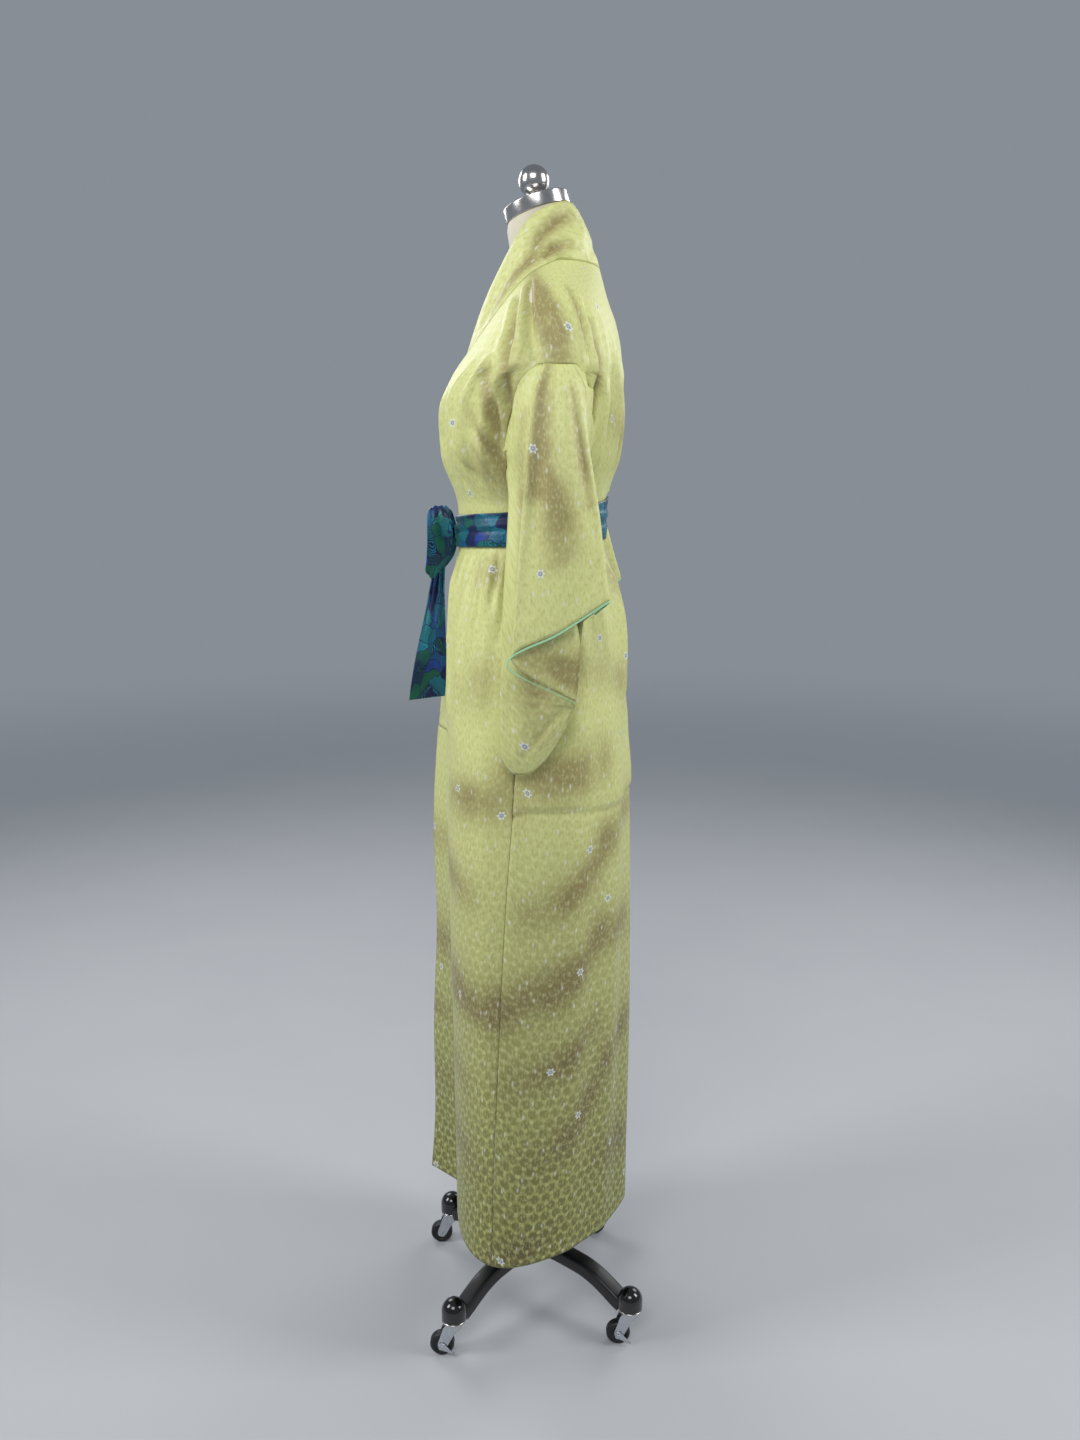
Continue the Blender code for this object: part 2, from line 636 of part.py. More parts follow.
def sleeveRow(drop, row, right):
    """The lines that a row of the sleeve passes through, from its inner edge round to its front edge."""
    lines = [innerMiddle, innerBack, backFold, outerMiddle, frontFold, turnedFold, frontMiddle]
    points = [np.array([float(read(line, n, drop, "drop")) for n in "xyz"]) for line in lines]
    if row < armholeDrops:
        first = armholeEdge(armholeBack, armholeHeights[row], -1)
        last = armholeEdge(armholeFront, armholeHeights[row], 1)
    else:
        first = np.array([float(read(innerEdge, n, drop, "drop")) for n in "xyz"])
        last = np.array([float(read(frontEdge, n, drop, "drop")) for n in "xyz"])
    if row > cuffRow:
        back, turn = points[1], points[5]
        points[2:5] = [back + (turn - back) * share for share in (0.25, 0.5, 0.75)]
    points = np.array([first, *points, last])
    hang = np.clip((sleeveTop - points[:, 2]) / 0.3, 0, 1.2)
    free = 1.0 if row >= armholeDrops else ease((0.1 + drop) / 0.424)
    if right:
        sway = swingRight * hang
        if row < armholeDrops:
            sway[[0, -1]] = 0.0
            sway[[1, -2]] *= free
        points[:, 1] += sway
    return points


def makeSleeve(name, right):
    """One strip folded at the top: open at the armhole, below the arm and at the cuff."""
    stations = np.arange(9.0)
    fine = np.linspace(0, 8, 8 * sleeveCells + 1)
    rows = []
    for row, drop in enumerate(sleeveDrops):
        points = sleeveRow(drop, row, right)
        rows.append(np.stack([smoothed(stations, points[:, i], fine) for i in range(3)], axis=1))
    grid = mirrored(np.array(rows), right)
    keep = np.ones((len(rows) - 1, len(fine) - 1), bool)
    keep[cuffRow:, 2 * sleeveCells : 6 * sleeveCells] = False
    sheet(name, grid, silk, wall, keep, flip=not right)
    edge = grid[cuffRow, 2 * sleeveCells + 1 : 6 * sleeveCells].copy()
    tip = np.exp(-(((np.arange(len(edge)) - (3 * sleeveCells - 1)) / 2.2) ** 2))
    edge[:, 1] -= cuffTip * tip
    edge[:, 2] -= cuffRoll + wall + cuffTip * tip
    addCord("cuff_edge_" + name[7:], edge, cuffRoll, mint, 1)


def addCord(name, points, radius, material, sides=2):
    curve = bpy.data.curves.new(name, "CURVE")
    curve.dimensions = "3D"
    spline = curve.splines.new("POLY")
    spline.points.add(len(points) - 1)
    for target, point in zip(spline.points, points):
        target.co = (*point, 1.0)
    curve.bevel_depth = radius
    curve.bevel_resolution = sides
    curve.use_fill_caps = True
    return addObject(name, curve, material)


def onCloth(height, share):
    """A point of the body's cloth, flat between its rows, at a share of the way round to the back."""
    row = int(np.searchsorted(bodyRows, height, side="right")) - 1
    low, high = bodyRows[row], bodyRows[row + 1]
    ends = [onRobe(level, [share * ring(level)[2][-1]])[0] for level in (low, high)]
    return ends[0] + (ends[1] - ends[0]) * (height - low) / (high - low)


def makeSashBand():
    """The wrapped stretch of the sash, rising a little to the back."""
    halves = []
    for side in (1, -1):
        columns = []
        for share in np.linspace(0, 1, sashColumns + 1):
            middle = float(read(sashRows, "height", 180 * share, "turn"))
            half = float(read(sashRows, "half", 180 * share, "turn"))
            points = np.array([onCloth(middle + half * place, share) for place in (-1, 0, 1)])
            out = np.array([0.0, sashBulge, 0.0]) + sashOut
            columns.append(pushedOut(points, (0, 0.004), out) * [side, 1, 1])
        halves.append(np.array(columns))
    loop = np.concatenate([halves[0], halves[1][-2::-1]])
    sheet("sash_band", loop.transpose(1, 0, 2), sashSilk, sashWall)


def makeKnot():
    mesh = bpy.data.meshes.new("sash_knot")
    work = bmesh.new()
    bmesh.ops.create_uvsphere(work, u_segments=12, v_segments=8, radius=1.0)
    for vertex in work.verts:
        x, y, z = vertex.co
        pinch = 1 - 0.18 * abs(z) ** 2
        vertex.co = Vector(
            (
                knotCentre[0] + knotSize[0] * x * pinch,
                knotCentre[1] + knotSize[1] * y * pinch,
                knotCentre[2] + knotSize[2] * z,
            )
        )
    work.to_mesh(mesh)
    work.free()
    mesh.shade_smooth()
    addObject("sash_knot", mesh, sashSilk)


def makeBowLoop(name, side):
    """A loop of the strip that stands out from the knot and falls beside it, seen edge on from the front."""
    across = np.array([side * 0.22, -0.97, 0.0])
    rows = []
    for turn in np.linspace(0, 10, 21):
        names = ("out", "ahead", "up", "spread")
        out, ahead, up, spread = (float(read(bowLine, n, turn, "turn")) for n in names)
        centre = np.array(knotCentre) + [side * out, -ahead, up]
        rows.append([centre + across * (0.5 * bowWidth * spread * place) for place in (-1, -0.33, 0.33, 1)])
    sheet(name, np.array(rows), sashSilk, sashWall)


def makeTail(name, top, bottom, topAcross, bottomAcross):
    """A hanging end of the strip, gathered at the knot and wide at its cut end."""
    rows = []
    for share in np.linspace(0, 1, 9):
        bend = ease(share)
        centre = np.array(top) * (1 - share) + np.array(bottom) * share
        reach = np.array(topAcross) * (1 - bend) + np.array(bottomAcross) * bend
        rows.append([centre + reach * place for place in (-0.5, -0.17, 0.17, 0.5)])
    sheet(name, np.array(rows), sashSilk, sashWall)


def makeTails():
    x, y, _ = knotCentre
    top = (x + 0.007, y - 0.006, tailTop)
    makeTail("sash_tail_left", top, (0.012, -0.166, tailBottom), (0.010, 0.014, 0.0), (-0.012, 0.054, 0.004))
    top = (x - 0.007, y - 0.006, tailTop)
    makeTail("sash_tail_right", top, (-0.036, -0.176, tailBottom + 0.015), (-0.012, 0.012, 0.0),
             (-0.050, 0.020, 0.006))


def turned(name, profile, material, parent, steps, closed=False):
    """A profile of radius and height, outer side downward, turned about its own Z axis."""
    mesh = bpy.data.meshes.new(name)
    edges = [(i, i + 1) for i in range(len(profile) - 1)]
    if closed:
        edges.append((len(profile) - 1, 0))
    mesh.from_pydata([(radius, 0.0, height) for radius, height in profile], edges, [])
    thing = addObject(name, mesh, material, parent)
    screw = thing.modifiers.new("Turned", "SCREW")
    screw.steps = steps
    screw.render_steps = steps
    screw.use_merge_vertices = True
    screw.merge_threshold = 0.00002
    return thing


def outline(name, points, thickness, material, parent, roundness=0.0):
    """A flat outline in the upright plane of X and Z, as thick as asked, with its caps joined."""
    curve = bpy.data.curves.new(name, "CURVE")
    curve.dimensions = "2D"
    curve.fill_mode = "BOTH"
    curve.extrude = 0.5 * thickness - roundness
    curve.bevel_depth = roundness
    curve.bevel_resolution = 0
    curve.offset = -roundness
    spline = curve.splines.new("POLY")
    spline.points.add(len(points) - 1)
    for target, (x, y) in zip(spline.points, points):
        target.co = (x, y, 0.0, 1.0)
    spline.use_cyclic_u = True
    flat = bpy.data.objects.new(name + "_outline", curve)
    parts.objects.link(flat)
    bpy.context.view_layer.update()
    mesh = bpy.data.meshes.new_from_object(flat.evaluated_get(bpy.context.evaluated_depsgraph_get()))
    bpy.data.objects.remove(flat, do_unlink=True)
    work = bmesh.new()
    work.from_mesh(mesh)
    bmesh.ops.remove_doubles(work, verts=work.verts, dist=0.00002)
    bmesh.ops.recalc_face_normals(work, faces=work.faces)
    work.to_mesh(mesh)
    work.free()
    mesh.materials.clear()
    mesh.name = name
    thing = addObject(name, mesh, material, parent)
    thing.rotation_euler = (math.pi / 2, 0.0, 0.0)
    return thing


def addTool(shape, target, operation, parent, place, size, turn=(0.0, 0.0, 0.0)):
    """A cylinder (radius, height) or a box (its three sides) that cuts a piece or joins it."""
    mesh = bpy.data.meshes.new(target.name + "_" + shape)
    work = bmesh.new()
    if shape == "cylinder":
        sides = 10 if size[0] < 0.005 else 20
        radius, depth = size
        bmesh.ops.create_cone(
            work, cap_ends=True, segments=sides, radius1=radius, radius2=radius, depth=depth
        )
    else:
        bmesh.ops.create_cube(work, size=1.0)
        bmesh.ops.scale(work, vec=size, verts=work.verts)
    work.to_mesh(mesh)
    work.free()
    tool = bpy.data.objects.new(mesh.name, mesh)
    tool.location = place
    tool.rotation_euler = turn
    tool.parent = parent
    tool.hide_render = True
    tool.display_type = "WIRE"
    cutters.objects.link(tool)
    cut = target.modifiers.new(operation.capitalize(), "BOOLEAN")
    cut.operation = operation
    cut.solver = "EXACT"
    cut.object = tool


def loft(name, rings, material):
    """Closed rings of points joined in order, with a flat face at each end."""
    count = len(rings[0])
    index = np.arange(len(rings) * count).reshape(len(rings), count)
    nextOne = np.roll(index, -1, axis=1)
    sides = np.stack([index[:-1], nextOne[:-1], nextOne[1:], index[1:]], axis=-1).reshape(-1, 4)
    mesh = bpy.data.meshes.new(name)
    mesh.from_pydata(
        np.concatenate(rings).tolist(), [], sides.tolist() + [index[0][::-1].tolist(), index[-1].tolist()]
    )
    mesh.shade_smooth()
    return addObject(name, mesh, material)


def ellipseRing(row, height):
    """An oval with a front and a back of unlike depth, counter-clockwise from the wearer's left."""
    turn = 2 * math.pi * np.arange(formColumns) / formColumns
    half, middleLine, front, back = (float(row[n]) for n in ("halfWidth", "middle", "front", "back"))
    depth = np.where(np.sin(turn) < 0, middleLine - front, back - middleLine)
    x, y = half * np.cos(turn), middleLine + depth * np.sin(turn)
    return np.stack([x, y, np.full_like(turn, height)], axis=1)


def seatRing(height):
    """A ring just under the robe's shoulder: points of its cloth moved in along their normals."""
    step = 0.002
    turn = 2 * math.pi * np.arange(formColumns) / formColumns

    def cloth(level):
        names = ("halfWidth", "middle", "front", "back")
        half, middleLine, front, back = (read(robe, n, level) for n in names)
        depth = np.where(np.sin(turn) < 0, middleLine - front - insetAt(level, True), back - middleLine)
        x, y = half * np.cos(turn), middleLine + depth * np.sin(turn)
        return np.stack([x, y, np.full_like(turn, level)], axis=1)

    upward = cloth(height + step) - cloth(height - step)
    here = cloth(height)
    around = np.roll(here, -1, axis=0) - np.roll(here, 1, axis=0)
    normal = np.cross(around, upward)
    normal /= np.linalg.norm(normal, axis=1, keepdims=True)
    return here - formSeat * normal


def makeForm():
    rings = []
    for height in form["height"]:
        rings.append(ellipseRing({n: read(form, n, height) for n in form}, height))
    rings += [seatRing(height) for height in formSeatRows]
    for height in formNeck["height"]:
        rings.append(ellipseRing({n: read(formNeck, n, height) for n in formNeck}, height))
    turn = 2 * math.pi * np.arange(formColumns) / formColumns
    depth, rise = np.sin(turn) * math.cos(neckTilt), np.sin(turn) * math.sin(neckTilt)
    flat = np.stack([np.cos(turn), depth, rise], axis=1)
    rings.append(np.array(neckMiddle) + neckRadius * flat)
    loft("form_body", rings, jersey)


def makeNeckCap():
    """A flat chromed cap on the slanted neck, with a ball on a short stem."""
    axis = Vector((0.0, -math.sin(neckTilt), math.cos(neckTilt)))
    seat = addEmpty("neck cap seat", Vector(neckMiddle) + clearance * axis, base)
    seat.rotation_euler[0] = neckTilt
    top = bandHeight
    profile = [
        (0.0, top + 0.0010), (bandRadius - 3 * bandRound, top),
        (bandRadius - bandRound, top - 0.3 * bandRound), (bandRadius, top - bandRound),
        (bandRadius, bandRound), (bandRadius - bandRound, 0.0), (0.0, 0.0),
    ]
    cap = turned("neck_cap", profile, chrome, seat, 32)
    mesh = bpy.data.meshes.new("neck_cap_ball")
    work = bmesh.new()
    bmesh.ops.create_uvsphere(work, u_segments=16, v_segments=10, radius=ballRadius)
    work.to_mesh(mesh)
    work.free()
    ball = bpy.data.objects.new("neck_cap_ball", mesh)
    ball.location = ballMiddle
    ball.parent = base
    ball.hide_render = True
    ball.display_type = "WIRE"
    cutters.objects.link(ball)
    joined = cap.modifiers.new("Union", "BOOLEAN")
    joined.operation = "UNION"
    joined.solver = "EXACT"
    joined.object = ball
    addTool("cylinder", cap, "UNION", base, stemMiddle, (stemRadius, stemHeight))


def makePole():
    top = float(form["height"][0]) - clearance
    profile = [(0.0, top), (poleRadius, top), (poleRadius, hubTop + clearance), (0.0, hubTop + clearance)]
    turned("pole", profile, blackPaint, base, 20)
    edge = 0.002
    profile = [
        (0.0, hubTop), (hubRadius - edge, hubTop), (hubRadius, hubTop - edge), (hubRadius, hubBottom + edge),
        (hubRadius - edge, hubBottom), (0.0, hubBottom),
    ]
    turned("hub", profile, blackPaint, base, 24)


def makeLeg(name, turn):
    """A flat bar bowed up from the hub and down to its cap, hollowed at both ends to fit round them."""
    at = np.linspace(legLine["reach"][0], legLine["reach"][-1], legSteps)
    line = np.stack([at, read(legLine, "height", at, "reach")], axis=1)
    along = np.gradient(line, axis=0)
    along /= np.linalg.norm(along, axis=1, keepdims=True)
    side = np.stack([-along[:, 1], along[:, 0]], axis=1) * 0.5 * legDepth
    points = np.concatenate([line + side, (line - side)[::-1]])
    holder = addEmpty(name + " direction", (0.0, 0.0, 0.0), base, turn)
    leg = outline(name, points.tolist(), legWidth, blackPaint, holder, legRound)
    tall = 0.2
    addTool("cylinder", leg, "DIFFERENCE", holder, (0.0, 0.0, hubTop), (hubRadius + 1.5 * clearance, tall))
    addTool("cylinder", leg, "DIFFERENCE", holder, (capOut, 0.0, capTop), (capRadius + 1.5 * clearance, tall))
    beyond = 0.03
    addTool("box", leg, "DIFFERENCE", holder, (capOut + 0.5 * beyond, 0.0, capTop), (beyond, beyond, tall))


def makeCap(name, seat):
    dome = capTop - capRadius
    arc = [0.5 * math.pi * step / 4 for step in range(5)]
    profile = [(capRadius * math.sin(turn), dome + capRadius * math.cos(turn)) for turn in arc]
    profile[0] = (0.0, capTop)
    profile += [(capRadius, capBottom + 0.001), (capRadius - 0.001, capBottom), (0.0, capBottom)]
    turned(name, profile, blackPlastic, seat, 20)


def makeCaster(label, seat, braked):
    """A fork that swivels about the cap's axis, with its wheel trailing to the front."""
    swivel = addEmpty("caster swivel " + label, (0.0, 0.0, 0.0), seat)
    inside = wheelWidth + 2 * clearance
    fork = outline("fork_" + label, forkSide, inside + 2 * cheek, zinc, swivel)
    fork.rotation_euler = (math.pi / 2, 0.0, math.pi / 2)
    slotTop = 0.0530
    slotBottom = 0.0100
    addTool("box", fork, "DIFFERENCE", swivel, (0.0, 0.0, 0.5 * (slotTop + slotBottom)),
            (inside, 0.1, slotTop - slotBottom))
    plate = 0.0024
    addTool("cylinder", fork, "UNION", swivel, (0.0, 0.0, forkTop - 0.5 * plate), (forkRadius, plate))
    spare = 0.0010
    shaft = inside + 2 * cheek + 2 * spare
    outward = leverThick + clearance if braked else 0.0
    addTool("cylinder", fork, "UNION", swivel, (0.5 * outward, -trail, wheelRadius),
            (axleRadius, shaft + outward), (0.0, math.pi / 2, 0.0))
    hub = addEmpty("wheel axle " + label, (0.0, -trail, wheelRadius), swivel)
    half = 0.5 * wheelWidth
    bore = axleRadius + axleSpare
    flats = 28
    rim = wheelRadius / math.cos(math.pi / flats)
    profile = [
        (bore, half), (rim - wheelRound, half), (rim, half - wheelRound),
        (rim, wheelRound - half), (rim - wheelRound, -half), (bore, -half),
    ]
    wheel = turned("wheel_" + label, profile, blackPlastic, hub, flats, closed=True)
    wheel.rotation_mode = "ZYX"
    wheel.rotation_euler = (0.0, math.pi / 2, math.pi / flats)
    if braked:
        lever = outline("brake_lever_" + label, leverSide, leverThick, zinc, hub)
        lever.rotation_euler = (math.pi / 2, 0.0, math.pi / 2)
        lever.location = (0.5 * (inside + leverThick) + cheek + clearance, 0.0, 0.0)
        addTool("cylinder", lever, "DIFFERENCE", hub, lever.location, (axleRadius + axleSpare, 0.01),
                (0.0, math.pi / 2, 0.0))


def makeStand():
    makeForm()
    makeNeckCap()
    makePole()
    for label, turn in zip(capNames, capTurns):
        makeLeg("leg_" + label, turn)
        place = (capOut * math.cos(turn), capOut * math.sin(turn), 0.0)
        seat = addEmpty("cap axis " + label, place, base)
        makeCap("cap_" + label, seat)
        makeCaster(label, seat, braked=label.endswith("left"))


clearScene()
base = addEmpty("Kimono robe on its stand", (0.0, originShift, 0.0))
for right in (False, True):
    side = "right" if right else "left"
    makeBodyPanel("body_" + side, right)
    makeOverlap("okumi_" + side, right)
    makeSleeve("sleeve_" + side, right)
makeCollar()
makeSashBand()
makeKnot()
makeBowLoop("sash_loop_left", 1)
makeBowLoop("sash_loop_right", -1)
makeTails()
makeStand()
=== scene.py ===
# Silk kimono robe on a wheeled dress form, closed left over right with a printed sash.
# Metres, Z up from the floor. The front faces -Y and the wearer's left hand is at +X.

import math

import bpy
import bmesh
import numpy as np
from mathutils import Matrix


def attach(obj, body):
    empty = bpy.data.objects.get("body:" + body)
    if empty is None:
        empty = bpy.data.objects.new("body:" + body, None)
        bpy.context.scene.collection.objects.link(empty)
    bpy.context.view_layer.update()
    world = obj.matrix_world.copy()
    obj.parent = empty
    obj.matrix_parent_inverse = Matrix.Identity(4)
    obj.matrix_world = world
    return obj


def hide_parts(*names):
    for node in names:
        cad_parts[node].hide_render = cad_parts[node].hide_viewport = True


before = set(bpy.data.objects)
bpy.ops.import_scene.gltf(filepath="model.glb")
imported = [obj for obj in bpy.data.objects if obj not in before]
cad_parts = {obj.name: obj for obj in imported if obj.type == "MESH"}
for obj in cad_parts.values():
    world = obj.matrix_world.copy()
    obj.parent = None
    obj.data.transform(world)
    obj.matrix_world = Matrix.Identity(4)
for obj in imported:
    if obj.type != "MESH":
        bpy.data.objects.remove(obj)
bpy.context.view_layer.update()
print("frame loaded:", len(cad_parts), "nodes")

standBody = "robe_and_stand"
originShift = 0.01077  # the robe's own middle line stands this far behind the origin
left, right = 1, -1


def table(columns, *rows):
    return dict(zip(columns.split(), np.array(rows, float).T))


# The robe's outline at each height: half its width, y of its widest line, of its front and of its
# back, and how square the front and the back are
robe = table(
    "height halfWidth middle front back squareFront squareBack",
    (0.190, 0.207, -0.042, -0.129, 0.150, 2.3, 1.6),
    (0.450, 0.203, -0.026, -0.130, 0.150, 2.5, 1.8),
    (0.730, 0.199, -0.006, -0.133, 0.147, 2.8, 2.1),
    (0.900, 0.196, 0.007, -0.134, 0.144, 2.9, 2.25),
    (1.060, 0.189, 0.010, -0.131, 0.138, 2.7, 2.3),
    (1.150, 0.177, 0.008, -0.129, 0.133, 2.5, 2.2),
    (1.200, 0.165, 0.006, -0.126, 0.124, 2.4, 2.2),
    (1.240, 0.149, 0.004, -0.119, 0.111, 2.3, 2.2),
    (1.262, 0.1395, 0.004, -0.1135, 0.104, 2.2, 2.2),
    (1.290, 0.138, 0.004, -0.113, 0.103, 2.2, 2.2),
    (1.320, 0.140, 0.004, -0.114, 0.104, 2.2, 2.2),
    (1.350, 0.158, 0.006, -0.121, 0.110, 2.2, 2.2),
    (1.400, 0.188, 0.012, -0.134, 0.123, 2.3, 2.2),
    (1.456, 0.206, 0.020, -0.139, 0.128, 2.2, 2.2),
    (1.500, 0.2215, 0.027, -0.122, 0.128, 2.1, 2.1),
    (1.540, 0.213, 0.028, -0.094, 0.125, 2.0, 2.1),
    (1.575, 0.197, 0.028, -0.068, 0.118, 2.0, 2.0),
    (1.600, 0.173, 0.028, -0.050, 0.109, 2.0, 2.0),
    (1.620, 0.143, 0.029, -0.038, 0.103, 2.0, 2.0),
    (1.640, 0.106, 0.031, -0.027, 0.098, 2.0, 2.0),
    (1.655, 0.079, 0.034, -0.018, 0.094, 2.0, 2.0),
)

# Reach is the distance round the cloth from the middle of the front
collarSeam = table(
    "height reach",
    (0.970, -0.030), (1.100, -0.029), (1.290, -0.022), (1.400, -0.010), (1.456, 0.004),
    (1.490, 0.020), (1.508, 0.036), (1.547, 0.062), (1.575, 0.082), (1.600, 0.095),
    (1.620, 0.101), (1.640, 0.106), (1.655, 0.104),
)
collarEdge = table(
    "height reach",
    (0.970, -0.085), (1.100, -0.084), (1.290, -0.077), (1.400, -0.064), (1.456, -0.052),
    (1.490, -0.036), (1.508, -0.020), (1.530, 0.000),
)
# The collar's free edge above the crossing, round to the back of the neck
neckEdge = table(
    "x y z",
    (0.000, -0.106, 1.530), (0.018, -0.088, 1.570), (0.033, -0.069, 1.615), (0.045, -0.049, 1.652),
    (0.055, -0.035, 1.675), (0.063, -0.022, 1.694), (0.066, -0.006, 1.7135), (0.062, 0.017, 1.7285),
    (0.042, 0.041, 1.7405), (0.000, 0.0560, 1.7475),
)
overlapSeam = table(
    "height x", (0.190, 0.036), (0.900, 0.030), (1.290, 0.012), (1.420, -0.008), (1.440, -0.010)
)
# The left overlap's free edge hangs forward: its angle away from the front at each height
overlapFlare = table(
    "height angle",
    (0.190, 46), (0.300, 40), (0.500, 33), (0.850, 26), (1.020, 17), (1.200, 3), (1.260, 0), (1.600, 0),
)
sideSeam = table(
    "height y",
    (0.190, -0.065), (0.370, -0.059), (0.630, -0.048), (0.770, -0.040), (0.950, -0.027), (1.290, -0.014),
)
armholeFront = table(
    "height y",
    (1.290, -0.0145), (1.320, -0.026), (1.350, -0.035), (1.370, -0.037), (1.400, -0.036),
    (1.430, -0.033), (1.460, -0.025), (1.485, -0.012), (1.500, 0.006), (1.600, 0.013), (1.620, 0.018),
    (1.640, 0.029), (1.655, 0.046),
)
armholeBack = table(
    "height y",
    (1.290, -0.0135), (1.320, 0.030), (1.350, 0.060), (1.370, 0.070), (1.400, 0.076),
    (1.430, 0.077), (1.460, 0.075), (1.485, 0.066), (1.500, 0.054), (1.600, 0.046), (1.620, 0.045),
    (1.640, 0.049), (1.655, 0.058),
)
cut = dict(
    hem=0.190, sideOpening=1.290, sleeveTop=1.500, neckSeam=1.655, collarEnd=0.970, crossing=1.530,
    overlapTop=1.425, overlapWidth=0.085, overlapBend=0.030, underlap=0.0075, seamGap=0.0003,
    cornerGap=0.0005, cloth=0.0011, collarCloth=0.0020, ringSteps=400,
    underSash=(1.248, 1.345),  # no creases between these heights
    # How wide the cloth map counts the body's front, armhole and back, and the overlap
    mapWidths=(0.21, 0.04, 0.31), overlapMap=0.12,
    # How many points: the body up to and over the shoulder, and across its front, armhole and back;
    # the overlap below and above the collar's end, and across; the collar in its four stretches, and across
    bodyRows=(236, 66), bodyColumns=(58, 9, 50), overlapRows=(140, 84), overlapColumns=26,
    collarRows=(84, 24, 40, 34), collarColumns=18,
)


def ease(t):  # 0 to 1 with level ends: 3 t^2 - 2 t^3
    t = np.clip(t, 0.0, 1.0)
    return t * t * (3 - 2 * t)


def smoothed(knots, values, at):
    # A cubic through the knots; its slope at a knot is the harmonic mean of its neighbours' slopes
    width = np.diff(knots)
    slope = np.diff(values) / width
    tangent = np.zeros(len(knots))
    same = slope[1:] * slope[:-1] > 0
    tangent[1:-1][same] = 2 * (slope[1:] * slope[:-1])[same] / (slope[1:] + slope[:-1])[same]
    tangent[0], tangent[-1] = slope[0], slope[-1]
    at = np.clip(at, knots[0], knots[-1])
    cell = np.clip(np.searchsorted(knots, at, side="right") - 1, 0, len(width) - 1)
    t = (at - knots[cell]) / width[cell]
    return (
        (1 + 2 * t) * (1 - t) ** 2 * values[cell] + t * (1 - t) ** 2 * width[cell] * tangent[cell]
        + t * t * (3 - 2 * t) * values[cell + 1] - t * t * (1 - t) * width[cell] * tangent[cell + 1]
    )


def read(columns, name, at, key="height"):
    return smoothed(columns[key], columns[name], np.asarray(at, float))


def alongRows(at, knots, values):
    # Each row's own curve, read in one go: the rows are set end to end, 10 m apart
    at = np.clip(at, knots[:, :1], knots[:, -1:])
    offset = 10.0 * np.arange(len(knots))[:, None]
    return np.interp((at + offset).ravel(), (knots + offset).ravel(), values.ravel()).reshape(at.shape)


def runLength(*steps):  # running length of a line whose steps are given, along the last axis
    total = np.cumsum(np.sqrt(sum(step**2 for step in steps)), axis=-1)
    return np.concatenate([np.zeros_like(total[..., :1]), total], axis=-1)


def unit(vectors):
    return vectors / np.maximum(np.linalg.norm(vectors, axis=-1, keepdims=True), 1e-12)


def robeRings(heights, inset):
    # Left half of each level section: x = half |cos a|^(2/square), y = middle + depth |sin a|^(2/square)
    names = ("halfWidth", "middle", "front", "back", "squareFront", "squareBack")
    half, middle, front, back, squareFront, squareBack = (read(robe, n, heights)[:, None] for n in names)
    angle = np.linspace(-math.pi / 2, math.pi / 2, cut["ringSteps"] + 1)[None, :]
    power = np.where(angle < 0, 2 / squareFront, 2 / squareBack)
    depth = np.where(angle < 0, middle - front - inset[:, None], back - middle)
    x = half * np.abs(np.cos(angle)) ** power
    x[:, [0, -1]] = 0.0
    y = middle + np.sign(angle) * depth * np.abs(np.sin(angle)) ** power
    return x, y, runLength(np.diff(x), np.diff(y))


def insetAt(heights, side):  # the right front lies inside the left one, up to the crossing
    return cut["underlap"] * (1 - ease((heights - cut["crossing"] - 0.012) / 0.055)) * (side == right)


def flareAt(heights, side):
    return np.radians(read(overlapFlare, "angle", heights)) * (side == left)


def onRobe(heights, reaches, side):
    # Points at reaches along each level section; past the middle of the front the cloth may hang forward
    xs, ys, reach = robeRings(heights, insetAt(heights, side))
    x = np.sign(reaches) * alongRows(np.abs(reaches), reach, xs)
    y = alongRows(np.abs(reaches), reach, ys)
    flare = flareAt(heights, side)[:, None]
    steps = np.linspace(0.0, 1.05 * cut["overlapWidth"], 60)[None, :] * np.ones_like(flare)
    angle = flare * ease(steps / cut["overlapBend"])[:, 1:]
    run = np.cumsum(np.diff(steps) * np.cos(angle), axis=1)
    forward = np.cumsum(np.diff(steps) * np.sin(angle), axis=1)
    run, forward = (np.concatenate([np.zeros_like(flare), r], axis=1) for r in (run, forward))
    away = (reaches < 0) & (flare > 0)
    x = np.where(away, -alongRows(-reaches, steps, run), x)
    y = np.where(away, ys[:, :1] - alongRows(-reaches, steps, forward), y)
    return np.stack([x, y + originShift, heights[:, None] * np.ones_like(x)], axis=-1)


def reachAtY(heights, y, side):
    _, ys, reach = robeRings(heights, insetAt(heights, side))
    return alongRows(y[:, None], ys, reach)[:, 0]


def reachAtX(heights, x, side):
    xs, _, reach = robeRings(heights, insetAt(heights, side))
    front = slice(0, cut["ringSteps"] // 2 + 1)
    return np.sign(x) * alongRows(np.abs(x)[:, None], xs[:, front], reach[:, front])[:, 0]


def roundTheRobe(points):
    # Distance round from the line under the arm, to the back (+) or to the front (-)
    x, y = np.abs(points[..., 0]), points[..., 1] - originShift
    return y + np.clip(y / 0.08, -1, 1) * (0.2 - x)


def softStrokes(across, up, strokes):
    # Sum of soft strokes: height exp(-(d/width)^2), d from a bowed line between two points
    total = np.zeros_like(across)
    for a0, b0, a1, b1, bow, width, height in zip(*strokes.values()):
        da, db = a1 - a0, b1 - b0
        t = np.clip(((across - a0) * da + (up - b0) * db) / (da * da + db * db), 0, 1)
        bend = 4 * bow * t * (1 - t) / math.hypot(da, db)
        gap = np.hypot(across - a0 - t * da + bend * db, up - b0 - t * db - bend * da)
        fading = 0.35 + 0.65 * np.sin(math.pi * np.clip(t, 0.1, 0.9))  # weaker toward its ends
        total += height * np.exp(-((gap / width) ** 2)) * fading
    return total


